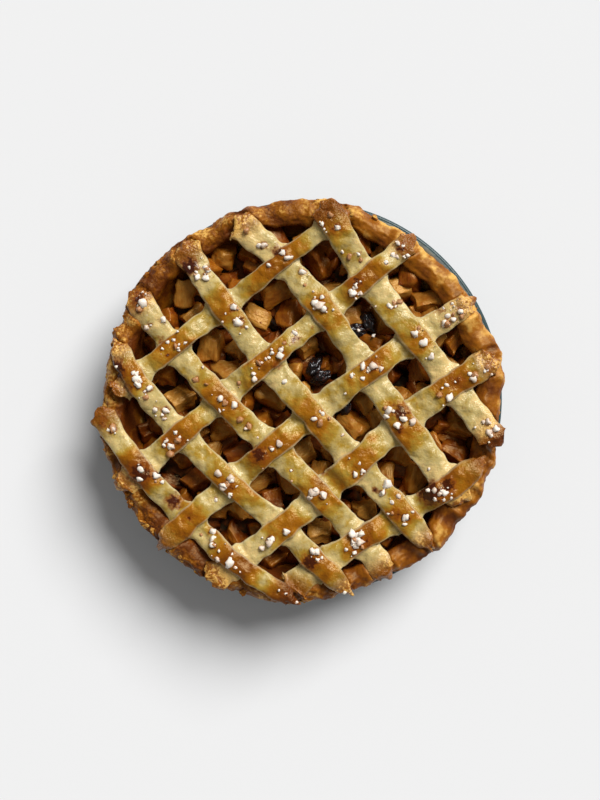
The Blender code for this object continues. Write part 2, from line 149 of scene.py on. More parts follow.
# The filling.
SYRUP_SPIN = 120
FILLING_EDGE = 32 * MM
FILLING_MIDDLE = 28 * MM
PIECE_PITCH = 20 * MM
PIECE_SIZE = Vector((17 * MM, 12.5 * MM, 12 * MM))
PIECE_PLUMP = Vector((1.18, 1.32, 1.1))
PIECE_LEVEL = 32 * MM
# Lower down, the apple is painted darker: painted shade between the pieces, with the syrup's soaking.
SOAKED_SHADED_UNDER = 6 * MM
SOAKED_SHADED_OVER = 14 * MM
LONG_EDGE = 3.5 * MM
PIECES_WITHIN = 96 * MM
WALL_PIECES = 36
WALL_PIECES_AT = 103 * MM
WALL_PIECES_RISE = 3.5 * MM
RAISIN_SIZE = Vector((15 * MM, 9 * MM, 8 * MM))
RAISIN_LEVEL = 38 * MM
# Where the raisins lie in millimetres, and how big each one is beside the rest.
RAISINS = (
    (6, 20, 0.95), (10, 13, 0.9), (34, 43, 0.85), (40, 49, 0.9), (26, -6, 0.8), (81, -65, 0.85),
    (-17, 48, 0.6)
)
# The grains of sugar that fell through the lattice: their places, and their radii, in millimetres.
FALLEN_SUGAR = ((33.7, 42.5, 42.6, 1.2), (43.1, 39.4, 42, 1.3), (-6, -22, 38, 0.9))
# The seed of the first layer's forms.
APPLE_SEED = 5

# The lattice. Each strip is a cubic through four points of its middle line, with its width, in
# millimetres, and how brown it baked beside the others.
STRIPS_DOWN_MM = (
    (((-131, -4), (-95, -53), (-52, -95), (-3, -127)), 13.8, 0.2),
    (((-120, 38), (-78, -22), (-24, -73), (30, -124)), 14.4, 0.0),
    (((-108, 68), (-58, 5), (0, -51), (53, -114)), 15.6, 0.02),
    (((-77, 97), (-29, 29), (26, -34), (81, -96)), 16.2, -0.02),
    (((-46, 112), (11, 56), (55, -7), (103, -66)), 16.9, -0.08),
    (((11, 122), (44, 69), (82, 21), (120, -30)), 16.9, -0.04),
)
STRIPS_UP_MM = (
    (((-120, 0), (-75, 38), (-24, 78), (26, 117)), 12.5, 0.14),
    (((-118, -58), (-56, -4), (7, 49), (70, 101)), 14.4, 0.05),
    (((-93, -95), (-29, -38), (37, 15), (108, 62)), 15.6, 0.02),
    (((-61, -114), (1, -68), (58, -18), (121, 26)), 16.9, 0.02),
    (((-12, -121), (30, -91), (74, -65), (114, -36)), 15.6, 0.16),
)
# The pairs of strips, numbered from the left, that break the weave where both of them end.
ENDS_ON_TOP = {(1, 5)}
# The strips that were drawn out narrow at their first end (0) or their last (1).
NARROW_ENDS = {
    ("strip_a1", 0), ("strip_a1", 1), ("strip_a2", 0), ("strip_a2", 1), ("strip_a4", 1), ("strip_b3", 0),
    ("strip_b5", 1)
}
STRIP_STEP = 0.95 * MM
STRIP_ROWS = 16
WEAVE_GAP = 0.5 * MM
LATTICE_EDGE = 48.2 * MM
LATTICE_RISE = 3 * MM
LATTICE_RADIUS = 110 * MM
END_STEP = 4 * MM
END_RAG = 2.4 * MM
END_PRESSED = 18 * MM
END_CRAGGY = 13 * MM
END_DRY = 22 * MM
END_THIN = 9 * MM
TIP_LENGTH = 5 * MM
CUT_WAVE = 26 * MM
# How far from the pie's middle the strips begin to turn paler with painted light, and to lie on the rim, and
# over how far.
PALER_FROM, PALER_OVER = 60 * MM, 30 * MM
RIM_FROM, RIM_OVER = 92 * MM, 28 * MM
RUN_OUT = 14 * MM
REACH_PAST = 2.5 * MM
FILLET = 5.5 * MM

# Pearl sugar lies in spills: how far along the strip each one is, and its number of grains.
SUGAR_DOWN = (
    ((0.1, 3), (0.32, 4), (0.51, 6), (0.62, 6), (0.7, 4), (0.94, 2)),
    ((0.12, 5), (0.16, 8), (0.26, 4), (0.52, 9), (0.84, 5), (0.97, 2)),
    ((0.04, 4), (0.11, 3), (0.28, 3), (0.37, 5), (0.45, 3), (0.61, 1), (0.7, 5)),
    ((0.1, 8), (0.24, 6), (0.43, 1), (0.57, 5), (0.65, 2), (0.79, 2), (0.86, 7)),
    ((0.09, 3), (0.24, 3), (0.34, 7), (0.58, 1), (0.7, 8), (0.83, 1)),
    ((0.09, 4), (0.2, 5), (0.42, 5), (0.58, 7), (0.93, 5)),
)
SUGAR_UP = (
    ((0.26, 7), (0.73, 4)),
    ((0.19, 8), (0.42, 1), (0.47, 5), (0.54, 6), (0.65, 3), (0.8, 8), (0.93, 7)),
    ((0.18, 1), (0.33, 1), (0.41, 3), (0.6, 2), (0.69, 6), (0.75, 1), (0.92, 10)),
    ((0.2, 6), (0.53, 4), (0.84, 4), (0.93, 6)),
    ((0.28, 2), (0.36, 12), (0.76, 8)),
)
SPILL_LENGTH = 4.5 * MM
SUGAR_FREE = 2 * MM
SUGAR_SUNK = 0.45 * MM
DUST_SPREAD = 5 * MM
NIB_FACETS = 6
GRAIN_RADIUS = (0.7 * MM, 1.9 * MM)
# Sugar that ran and burnt: its places and radii in millimetres, and how dark it turned.
CARAMEL = (
    (-71.9, 81.9, 4.5, 1), (-16.3, 91.3, 4, 0.7), (-103.8, 61.9, 4, 0.7), (-117.5, 17.5, 5.5, 1),
    (-40.6, 47.5, 4, 0.55), (-109.4, 6.9, 4, 0.45), (-89.4, 36.3, 3, 0.45), (-6.3, 36.3, 3.5, 0.45),
    (-17.5, 20.6, 3, 0.45), (-102.5, -46.3, 5.5, 1), (-81.9, -64.4, 4, 0.9), (-28.1, -35, 4.5, 0.9),
    (-78.1, -25.6, 3.5, 0.45), (-46.9, -53.8, 4, 0.55), (-87.5, -27.5, 3, 0.45), (-71.9, -74.4, 3.5, 0.45),
    (-125, -15, 3.5, 0.55), (31.9, 71.3, 4.5, 0.6), (41.9, 20.6, 4, 0.6), (93.8, 10, 4, 0.55),
    (59.4, 93.1, 4, 0.55), (84.4, 55, 3, 0.45), (6.3, 60, 3, 0.45), (16.3, 103.8, 3, 0.45),
    (59.4, -8.8, 5, 0.8), (59.4, -19.4, 2.5, 0.7), (78.1, -58.8, 6, 1), (88.1, -53.8, 4, 0.9),
    (57.5, -72.5, 4, 0.55), (3.1, -101.3, 4, 0.9), (12.5, -46.3, 3, 0.4), (43.8, -57.5, 2, 0.6),
    (115.6, -33.8, 2, 0.6), (38.8, -88.8, 3.5, 0.55)
)

# The tints of highlights: warm from egg wash and butter, pale on bare dough, and warm from syrup.
WARM_GLOSS = (1, 0.78, 0.4, 1)
PALE_GLOSS = (1, 1, 0.88, 1)
SYRUP_GLOSS = (1, 0.72, 0.34, 1)
# How often the flesh of the apple changes along its fibres and across them.
FIBRE_SCALE = (1 / (6 * MM), 1 / (2.6 * MM), 1 / (3 * MM))

# The stage. The photo is taken as a page of the given height, seen from straight above.
FLOOR_REACH = 3
FLOOR_DROP = 0.2 * MM
KEY_DIRECTION = Vector((0.44, 0.585, 0.682))
KEY_STRENGTH = 3.95
KEY_SPREAD = math.radians(34)
SKY_STRENGTH = 0.2
CAMERA_DISTANCE = 750 * MM
PAGE_HEIGHT = 500 * MM
PAGE_CENTRE = Vector((-3.1 * MM, -1.2 * MM))
LENS_SENSOR = 36


class PieSizes(PropertyGroup):
    dish_radius: size("Dish radius", "From the dish's axis to its lip's outer edge", DISH_BOX[1].x / MM)
    dish_height: size("Dish height", "From the table to the top of the dish's lip", DISH_BOX[1].z / MM)
    crust_radius: size("Crust radius", "The crust's mean radius at its rim", 124.8)
    crust_thickness: size("Crust thickness", "The crust's thickness against the dish", 4.5)
    rim_height: size("Rim height", "How far the crust's rim stands over the dish's lip", 7.5)
    rim_width: size("Rim width", "The width of the crust's rim, from above", 14)
    strip_thickness: size("Strip thickness", "The thickness of the lattice's pastry", 4)
    filling_bed: size("Filling bed", "How deep the second layer of apple lies under the first", 6)
    grain_crumbs: IntProperty(
        name="Sugar crumbs", description="The most small crumbs of sugar beside each grain", default=1, min=0
    )


class PieColours(PropertyGroup):
    # Painted light: the palest pastry is reached mostly on the low stretches near the rim, which are painted
    # paler.
    pastry_butter: colour("Buttery pastry", "The palest lattice pastry, near the rim", "dabc7a")
    pastry_pale: colour("Pale pastry", "Lattice pastry in the hollows, hardly browned", "c4ae70")
    # Partly painted highlight: this pale line on both edges of each strip stands for the unglazed cut sides
    # and for the highlight their rounding catches.
    pastry_cut: colour("Cut pastry", "The cut sides of the lattice pastry, which browned least", "ddd1a6")
    pastry_straw: colour("Straw pastry", "Lattice pastry under a thin egg wash", "aa8830")
    pastry_golden: colour("Golden pastry", "Lattice pastry on its humps", "9e620c")
    pastry_brown: colour("Brown pastry", "Pastry at the rim and on the crests", "7a4006")
    amber: colour("Amber", "Pastry that ran sugar has stained", "86420c")
    caramel: colour("Caramel", "Sugar that ran and burnt", "481a08")
    # Also painted highlight: the crust's high lumps and flakes are painted towards this tone.
    crust_light: colour("Light crust", "The crust's flakes and high edges", "dca853")
    crust_brown: colour("Brown crust", "The crust where the oven reached it most", "7e440a")
    crust_golden: colour("Golden crust", "Most of the crust", "9a5a0e")
    # Also painted shade: the crust's cracks are painted towards the darker tones.
    crust_dark: colour("Dark crust", "The crust's cracks and its wall by the filling", "602c0a")
    apple_pale: colour("Pale apple", "Cooked apple where it is hardly soaked", "b27a30")
    apple_tan: colour("Apple", "Cooked apple on its cut faces", "9a5812")
    # Deep amber and the syrup tone are also painted shade on the lower parts of the pieces.
    apple_amber: colour("Amber apple", "Apple that is soaked with syrup", "78360b")
    # Partly painted shade: the near-black stands for the shade in the deep gaps between the pieces.
    syrup: colour("Syrup", "The dark juice between the pieces", "180702")
    raisin: colour("Raisin", "The skin of the raisins", "120c0e")
    sugar: colour("Sugar", "Pearl sugar that stayed white", "f4e8d8")
    sugar_amber: colour("Amber sugar", "Pearl sugar that began to melt", "b4783c")
    glaze_outside: colour("Outer glaze", "The dish's outer wall and its lip", "35484a")
    glaze_inside: colour("Inner glaze", "The dish's inner wall", "9fb0b0")
    floor: colour("Floor", "The pale floor", "ebebeb")


def sizes():
    return bpy.context.scene.pie_sizes


def colours():
    return bpy.context.scene.pie_colours


def smooth(share):
    """A share, kept from 0 to 1 and eased at both ends."""
    share = min(1.0, max(0.0, share))
    return share * share * (3 - 2 * share)


def wobble(x, y, z=0.0):
    """Smooth noise from about -1 to 1, the same on each run."""
    return 2 * noise.noise(Vector((x, y, z)))


def grain_of(place, size_mm, seed=0.0):
    """Smooth noise from about -1 to 1 whose lumps are about the given size."""
    return 2 * noise.noise(place / (size_mm * MM) + Vector((seed, -seed, 2 * seed)))


def curve_through(points, parts):
    """Points on one smooth curve through the given ones, with a number of parts for each stretch."""
    found = []
    last = len(points) - 1
    for index in range(last):
        before, here = Vector(points[max(index - 1, 0)]), Vector(points[index])
        after, beyond = Vector(points[index + 1]), Vector(points[min(index + 2, last)])
        for part in range(parts[index]):
            t = part / parts[index]
            found.append(
                0.5 * (2 * here + (after - before) * t
                + (2 * before - 5 * here + 4 * after - beyond) * t * t
                + (3 * here - before - 3 * after + beyond) * t * t * t)
            )
    return found + [Vector(points[-1])]


def around(angle, radius, height=0.0):
    """The point at an angle round the dish's axis, at a radius and a height."""
    return Vector((radius * math.cos(angle), radius * math.sin(angle), height))


def float_layers(shape, *names):
    """New layers of numbers on a shape's vertices, for the materials to read."""
    return [shape.verts.layers.float.new(name) for name in names]


def lay(shape, verts, turn, centre):
    """Turns vertices about the origin and moves them to their place."""
    bmesh.ops.rotate(shape, cent=(0, 0, 0), matrix=turn.to_matrix(), verts=verts)
    bmesh.ops.translate(shape, vec=centre, verts=verts)


def new_object(name, shape, material):
    """Makes a bmesh an object of the scene."""
    mesh = bpy.data.meshes.new(name)
    shape.to_mesh(mesh)
    shape.free()
    mesh.materials.append(material)
    made = bpy.data.objects.new(name, mesh)
    bpy.context.scene.collection.objects.link(made)
    return made


def add_piece(name, shape, material, slot, *replaced):
    """Makes a bmesh a piece of the pie that rides on its one body and stands for CAD nodes."""
    piece = new_object(name, shape, material)
    piece.data.shade_smooth()
    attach(piece, "root")
    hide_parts(*replaced)
    return piece


def pour(heap, part):
    """Moves a small shape into a heap and returns its vertices there."""
    mesh = bpy.data.meshes.new("part")
    part.to_mesh(mesh)
    part.free()
    before = len(heap.verts)
    heap.from_mesh(mesh)
    bpy.data.meshes.remove(mesh)
    heap.verts.ensure_lookup_table()
    return heap.verts[before:]


def spun(profile, steps):
    """A bmesh of a profile of (radius, height) points, spun once round the Z axis, and its layer of rows."""
    shape = bmesh.new()
    row = shape.verts.layers.int.new("row")
    verts = [shape.verts.new((radius, 0, height)) for radius, height in profile]
    for number, vert in enumerate(verts):
        vert[row] = number
    edges = [shape.edges.new(pair) for pair in zip(verts, verts[1:])]
    bmesh.ops.spin(
        shape, geom=verts + edges, cent=(0, 0, 0), axis=(0, 0, 1), angle=math.tau, steps=steps, use_merge=True
    )
    bmesh.ops.remove_doubles(shape, verts=shape.verts, dist=0.001 * MM)
    bmesh.ops.recalc_face_normals(shape, faces=shape.faces)
    return shape, row


def wall_radius(height):
    """The radius of the dish's inner wall between its knee and its lip."""
    low = FLOOR_HEIGHT + KNEE_RISE
    share = (height - low) / (sizes().dish_height - LIP_ROUND - low)
    knee = FLOOR_RADIUS + KNEE_OUT
    return knee + (sizes().dish_radius - LIP_WIDTH - knee) * share


def edge_radius(angle):
    """How far the crust's outer edge is from the dish's axis."""
    out = around(angle, 1).xy
    turn = (angle - SHRUNK_ANGLE + math.pi) % math.tau - math.pi
    shrunk = SHRUNK_BY * math.exp(-((turn / SHRUNK_SPREAD) ** 2))
    swell = RIM_SWELL * wobble(out.x * 2.6, out.y * 2.6, 3.1)
    crag = RIM_CRAG * wobble(out.x * 7, out.y * 7, 7.7)
    return sizes().crust_radius + out.dot(CRUST_SHIFT) - shrunk + swell + crag


def rim_outline(angle):
    """The crust's upper side as (radius, height), from its outer edge in to where the filling meets it."""
    out = around(angle, 1)
    edge = edge_radius(angle)
    lip = sizes().dish_height
    width = sizes().rim_width
    rise = sizes().rim_height * (1 + 0.2 * wobble(out.x * 5, out.y * 5, 11.3))
    return [
        (edge, lip + 0.36 * rise),
        (edge - 2.5 * MM, lip + 0.76 * rise),
        (edge - 6.5 * MM, lip + rise),
        (edge - 0.8 * width, lip + 0.8 * rise),
        (edge - width, lip + 0.4 * rise),
        (wall_radius(FILLING_EDGE) - sizes().crust_thickness, FILLING_EDGE),
    ]


def crust_profile(angle):
    """The crust's section as (radius, height), from its underside out, over the rim and down inside."""
    outline = rim_outline(angle)
    edge = outline[0][0]
    lip = sizes().dish_height
    thickness = sizes().crust_thickness
    low = FLOOR_HEIGHT + CLEARANCE
    below_lip = lip - 3 * MM
    turn_over = min(sizes().dish_radius - LIP_WIDTH - CLEARANCE, edge - 0.3 * MM)
    return [
        (0, low),
        (FLOOR_RADIUS - 2 * CLEARANCE, low),
        (wall_radius(OUTER_BEND) - CLEARANCE, OUTER_BEND),
        (wall_radius(below_lip) - CLEARANCE, below_lip),
        (turn_over, lip + CLEARANCE),
        (max(edge - 1 * MM, turn_over + 0.1 * MM), lip + 1.6 * CLEARANCE),
        *outline,
        (wall_radius(INNER_BEND) - thickness, INNER_BEND),
        (FLOOR_RADIUS - thickness, low + thickness),
        (0, low + thickness),
    ]


class Bed:
    """The upper side of the crust, which the strips lie on."""

    def __init__(self):
        self.outlines = [rim_outline(math.tau * step / CRUST_STEPS) for step in range(CRUST_STEPS)]

    def height(self, place):
        """The height under a point, read between the outlines beside it and falling away outside."""
        turn = math.atan2(place.y, place.x) % math.tau * CRUST_STEPS / math.tau
        step = int(turn)
        share = turn - step
        here, after = self.outlines[step % CRUST_STEPS], self.outlines[(step + 1) % CRUST_STEPS]
        outline = [(a[0] + (b[0] - a[0]) * share, a[1] + (b[1] - a[1]) * share) for a, b in zip(here, after)]
        radius = place.length
        if radius >= outline[0][0]:
            return outline[0][1] - 0.7 * (radius - outline[0][0])
        for outer, inner in zip(outline, outline[1:]):
            if radius >= inner[0]:
                return inner[1] + (outer[1] - inner[1]) * (radius - inner[0]) / (outer[0] - inner[0])
        return 0.0


Station = namedtuple("Station", "point forward left half height thickness from_end hump stuck")
Grain = namedtuple("Grain", "distance across radius centre size turn")


class Strip:
    """One strip of the lattice: its middle line, its width, and its height where it crosses the others."""

    SEGMENTS = 60
    BEYOND = 5

    def __init__(self, bed, name, number, shape, spills):
        points_mm, width_mm, self.baked = shape
        self.crust = bed
        self.name = name
        self.number = number
        self.width = width_mm * MM
        self.spills = spills
        self.crossings = []
        corners = [Vector(point) * MM for point in points_mm]
        steps = range(-self.BEYOND, self.SEGMENTS + self.BEYOND + 1)
        self.line = [self.cubic(corners, step / self.SEGMENTS) for step in steps]
        marks = [0.0]
        for here, after in zip(self.line, self.line[1:]):
            marks.append(marks[-1] + (after - here).length)
        self.marks = [mark - marks[self.BEYOND] for mark in marks]
        self.length = self.marks[-1 - self.BEYOND]

    @staticmethod
    def cubic(corners, u):
        """The point at u, from 0 to 1, of the cubic that passes through four points evenly."""
        weights = (
            (1 - 3 * u) * (2 - 3 * u) * (1 - u) / 2,
            9 * u * (2 - 3 * u) * (1 - u) / 2,
            9 * u * (3 * u - 1) * (1 - u) / 2,
            u * (3 * u - 1) * (3 * u - 2) / 2,
        )
        return sum((corner * weight for corner, weight in zip(corners, weights)), Vector((0, 0)))

    def at(self, distance):
        """The middle line's point and direction at a distance from the strip's first end."""
        index = min(max(bisect(self.marks, distance) - 1, 0), len(self.line) - 2)
        direction = (self.line[index + 1] - self.line[index]).normalized()
        return self.line[index] + direction * (distance - self.marks[index]), direction

    def place(self, distance, across):
        """The point a number of half widths to the left of the middle line."""
        point, direction = self.at(distance)
        return point + Vector((-direction.y, direction.x)) * across * self.half_width(distance)

    def from_end(self, distance):
        return min(distance, self.length - distance)

    def half_width(self, distance):
        """Half the strip's width, uneven as it was cut, and pressed wider where it meets the rim."""
        uneven = 1 + 0.11 * wobble(distance / CUT_WAVE, self.number * 5.3)
        pressed = 1 + 0.16 * (1 - smooth(self.from_end(distance) / END_PRESSED))
        tip = 0.75 + 0.25 * smooth((self.from_end(distance) + 1 * MM) / TIP_LENGTH)
        if (self.name, int(distance > self.length / 2)) in NARROW_ENDS:
            tip *= 0.45 + 0.55 * smooth(self.from_end(distance) / END_PRESSED)
        return self.width / 2 * uneven * pressed * tip

    def thickness(self, distance):
        """The strip's thickness, which thins at its pressed ends."""
        thinned = 0.62 + 0.38 * smooth((self.from_end(distance) + 2 * MM) / END_THIN)
        return sizes().strip_thickness * thinned

    def bed(self, distance):
        """The lowest height at which the strip's underside clears the crust."""
        along = (distance + near for near in (-3 * MM, 0, 3 * MM))
        places = [self.place(near, across) for near in along for across in (-1.1, -0.5, 0, 0.5, 1.1)]
        return max(map(self.crust.height, places)) + CLEARANCE

    def free_height(self, distance):
        """The underside's height where no other strip lifts it."""
        radius = self.at(distance)[0].length
        return max(dome_height(radius) - sizes().strip_thickness / 2, self.bed(distance))

    def height(self, distance):
        """The height of the strip's underside."""
        before = after = None
        for low, high, level, _ in self.crossings:
            if low <= distance <= high:
                return max(level, self.bed(distance))
            if high < distance:
                before = (high, level)
            elif after is None:
                after = (low, level)
        if before and after:
            share = smooth((distance - before[0]) / (after[0] - before[0]))
            level = before[1] + (after[1] - before[1]) * share
        else:
            edge, level = before or after
            share = smooth(abs(distance - edge) / RUN_OUT)
            level += (self.free_height(distance) - level) * share
        return max(level, self.bed(distance))

    def hump(self, distance):
        """From 0 to 1, how near the strip is to lying over another one."""
        near = (
            smooth(1.3 - abs(distance - (low + high) / 2) / (high - low))
            for low, high, _, top in self.crossings if top
        )
        return max(near, default=0)

    def covered(self, distance, margin=0.0):
        """Whether another strip lies over this one within a margin of a distance."""
        spans = ((low - margin, high + margin) for low, high, _, top in self.crossings if not top)
        return any(low < distance < high for low, high in spans)

    def stuck(self, distance):
        """From 0 to 1, how near the strip is to going under another one, whose side it sticks to."""
        near = 0.0
        for low, high, _, top in self.crossings:
            if not top:
                past_edge = abs(distance - (low + high) / 2) - (high - low) / 2 + REACH_PAST
                near = max(near, 1 - max(0, past_edge) / FILLET)
        return near

    def station(self, distance):
        """What the strip is like at a distance from its first end."""
        point, forward = self.at(distance)
        near = [self.height(distance + shift * MM) for shift in (-2.5, -1.2, 0, 1.2, 2.5)]
        stuck = self.stuck(distance)
        half = self.half_width(distance) + 0.4 * FILLET * stuck**2.5
        height = sum(near) / len(near)
        thickness, from_end, hump = self.thickness(distance), self.from_end(distance), self.hump(distance)
        left = Vector((-forward.y, forward.x))
        return Station(point, forward, left, half, height, thickness, from_end, hump, stuck)

    def grains(self):
        """Every grain of pearl sugar on the strip."""
        draw = random.Random(self.name)
        found = []
        for share, count in self.spills:
            for _ in range(count):
                distance = share * self.length + draw.gauss(0, SPILL_LENGTH)
                across = max(-0.75, min(0.75, draw.gauss(0, 0.42)))
                radius = GRAIN_RADIUS[0] + (GRAIN_RADIUS[1] - GRAIN_RADIUS[0]) * draw.random() ** 1.5
                extent = Vector(2 * radius * draw.uniform(0.8, 1.2) for _ in range(3))
                turn = [draw.uniform(0, math.tau) for _ in range(3)]
                if self.covered(distance, radius) or self.from_end(distance) < SUGAR_FREE:
                    continue
                top = self.height(distance) + self.thickness(distance) * rounded(across)
                centre = Vector((*self.place(distance, across), top + 0.2 * radius))
                found.append(Grain(distance, across, radius, centre, extent, turn))
        return found


def rounded(across):
    """The height of a strip's top over its underside, as a share of its thickness."""
    return 0.32 + 0.66 * math.sqrt(max(0, 1 - abs(across) ** 2.2))


def dome_height(radius):
    """The middle height of the lattice, which the filling holds up a little at the pie's centre."""
    sag = 1.2 * max(0, radius - LATTICE_RADIUS)
    return LATTICE_EDGE + LATTICE_RISE * (1 - min(1, radius / LATTICE_RADIUS) ** 2) - sag


def find_crossing(down, up):
    """Where two middle lines cross: the distance along each, and the point."""
    for i in range(len(down.line) - 1):
        for j in range(len(up.line) - 1):
            point = intersect_line_line_2d(*down.line[i : i + 2], *up.line[j : j + 2])
            if point:
                along_down = down.marks[i] + (point - down.line[i]).length
                return along_down, up.marks[j] + (point - up.line[j]).length, point
    return None


def reach_over(other, along_other):
    """How far to each side of a crossing a strip keeps its level: past the other strip's edges."""
    return other.half_width(along_other) + REACH_PAST


def weave(downs, ups):
    """Sets each strip's level at its crossings. They take turns on top, and the strip below lies at the
    lattice's own height or on the crust."""
    thickness = sizes().strip_thickness
    for down in downs:
        for up in ups:
            found = find_crossing(down, up)
            if not found:
                continue
            along_down, along_up, point = found
            under = (down, along_down, reach_over(up, along_up))
            over = (up, along_up, reach_over(down, along_down))
            if (down.number + up.number) % 2 == 1 or (down.number, up.number) in ENDS_ON_TOP:
                under, over = over, under
            (lower, along, reach), (upper, along_upper, reach_upper) = under, over
            on_crust = max(lower.bed(along + part * reach) for part in (-1, -0.5, 0, 0.5, 1))
            level = max(dome_height(point.length) - thickness - WEAVE_GAP / 2, on_crust)
            lower.crossings.append((along - reach, along + reach, level, False))
            level += thickness + WEAVE_GAP
            upper.crossings.append((along_upper - reach_upper, along_upper + reach_upper, level, True))
    for strip in downs + ups:
        strip.crossings.sort()


def caught(place):
    """From 0 to 1, how dark the oven turned the pastry at a place on the rim."""
    near = 0.0
    for x, y, radius in CAUGHT:
        near += math.exp(-((place.xy - Vector((x, y)) * MM).length_squared / (radius * MM) ** 2))
    return min(1, near)


@cache
def woven_strips():
    bed = Bed()
    families = []
    for letter, shapes, sugar in (("a", STRIPS_DOWN_MM, SUGAR_DOWN), ("b", STRIPS_UP_MM, SUGAR_UP)):
        rows = enumerate(zip(shapes, sugar), start=1)
        families.append([Strip(bed, f"strip_{letter}{number}", number, *row) for number, row in rows])
    weave(*families)
    return families[0] + families[1]


def tone(name):
    """One of the pie's colours, as the four numbers that a node takes."""
    return (*getattr(colours(), name), 1)


def new_material(name):
    material = bpy.data.materials.new(name)
    material.use_nodes = True
    tree = material.node_tree
    return material, tree, tree.nodes["Principled BSDF"]


def feed(node, inputs):
    """Gives a node's inputs their values, or links them where another node's output is given."""
    for name, value in inputs.items():
        if isinstance(value, bpy.types.NodeSocket):
            node.id_data.links.new(value, node.inputs[name])
        else:
            node.inputs[name].default_value = value


def add_node(tree, kind, inputs=None, give=0, stops=None, **settings):
    """Adds a node with its settings, its inputs and a ramp's stops, and returns one of its outputs."""
    made = tree.nodes.new(f"ShaderNode{kind}")
    for name, value in settings.items():
        setattr(made, name, value)
    feed(made, inputs or {})
    if stops:
        elements = made.color_ramp.elements
        while len(elements) < len(stops):
            elements.new(1)
        for element, (position, name) in zip(elements, stops.items()):
            element.position = position
            element.color = tone(name)
    return made.outputs[give]


def glazed_stoneware():
    """Stoneware under a glossy glaze, dark outside and on its lip and pale on its inner wall: clear sharp
    highlights.
    """
    material, tree, shader = new_material("glazed_stoneware")
    place = add_node(tree, "TexCoord", give="Object")
    height = add_node(tree, "SeparateXYZ", {0: place}, give="Z")
    flat = add_node(tree, "VectorMath", {0: place, 1: (1, 1, 0)}, operation="MULTIPLY")
    radius = add_node(tree, "VectorMath", {0: flat}, give="Value", operation="LENGTH")
    speckle, orange_peel = (
        add_node(tree, "TexNoise", {"Vector": place, "Scale": 1 / (grain_mm * MM), "Detail": detail})
        for grain_mm, detail in ((1.5, 3), (6, 2))
    )
    uneven = add_node(tree, "Math", {0: speckle, 1: 1.2 * MM, 2: radius}, operation="MULTIPLY_ADD")
    flare = (wall_radius(30 * MM) - wall_radius(20 * MM)) / (10 * MM)
    upright = add_node(tree, "Math", {0: height, 1: -flare, 2: uneven}, operation="MULTIPLY_ADD")
    inner = wall_radius(0) + 1.1 * MM
    wall = add_node(tree, "MapRange", {"Value": upright, "From Min": inner, "From Max": inner + 0.8 * MM})
    foot = add_node(tree, "MapRange", {"Value": height, "From Min": 3 * MM, "From Max": 2 * MM})
    outside = add_node(tree, "Math", {0: wall, 1: foot}, operation="MAXIMUM")
    glazes = {0: outside, 6: tone("glaze_inside"), 7: tone("glaze_outside")}
    shade = add_node(tree, "Mix", glazes, give=2, data_type="RGBA")
    bump = add_node(tree, "Bump", {"Height": orange_peel, "Strength": 0.2, "Distance": 0.3 * MM})
    feed(shader, {"Base Color": shade, "Normal": bump, "Roughness": 0.24, "Specular IOR Level": 0.25})
    return material


def baked_shortcrust():
    """Shortcrust baked crisp, without egg wash: matt, crumbly and blotched from golden to dark brown."""
    material, tree, shader = new_material("baked_shortcrust")
    place = add_node(tree, "TexCoord", give="Object")
    baked, dry = (
        add_node(tree, "Attribute", give="Fac", attribute_name=name) for name in ("browning", "crumbly")
    )
    blotch, crumb = (
        add_node(tree, "TexNoise", {"Vector": place, "Scale": 1 / (grain_mm * MM), "Detail": detail})
        for grain_mm, detail in ((9, 5), (1.7, 6))
    )
    spread = add_node(tree, "Math", {0: crumb, 1: -0.5}, operation="ADD")
    uneven = add_node(tree, "MapRange", {"Value": dry, "To Min": 0.2, "To Max": 0.9})
    toned = baked
    for pattern, share in ((blotch, 0.8), (spread, uneven)):
        toned = add_node(tree, "Math", {0: pattern, 1: share, 2: toned}, operation="MULTIPLY_ADD")
    stops = {0.26: "crust_light", 0.44: "crust_golden", 0.62: "crust_brown", 0.78: "crust_dark"}
    relief = add_node(tree, "MapRange", {"Value": dry, "To Min": 0.3 * MM, "To Max": 1.3 * MM})
    feed(shader, {
        "Base Color": add_node(tree, "ValToRGB", {0: toned}, stops=stops),
        "Normal": add_node(tree, "Bump", {"Height": crumb, "Strength": 0.8, "Distance": relief}),
        "Roughness": 0.42,
        "Specular IOR Level": 0.4,
        "Specular Tint": WARM_GLOSS,
        "Subsurface Weight": 0.08,
        "Subsurface Radius": (2 * MM, 1 * MM, 0.5 * MM),
    })
    return material


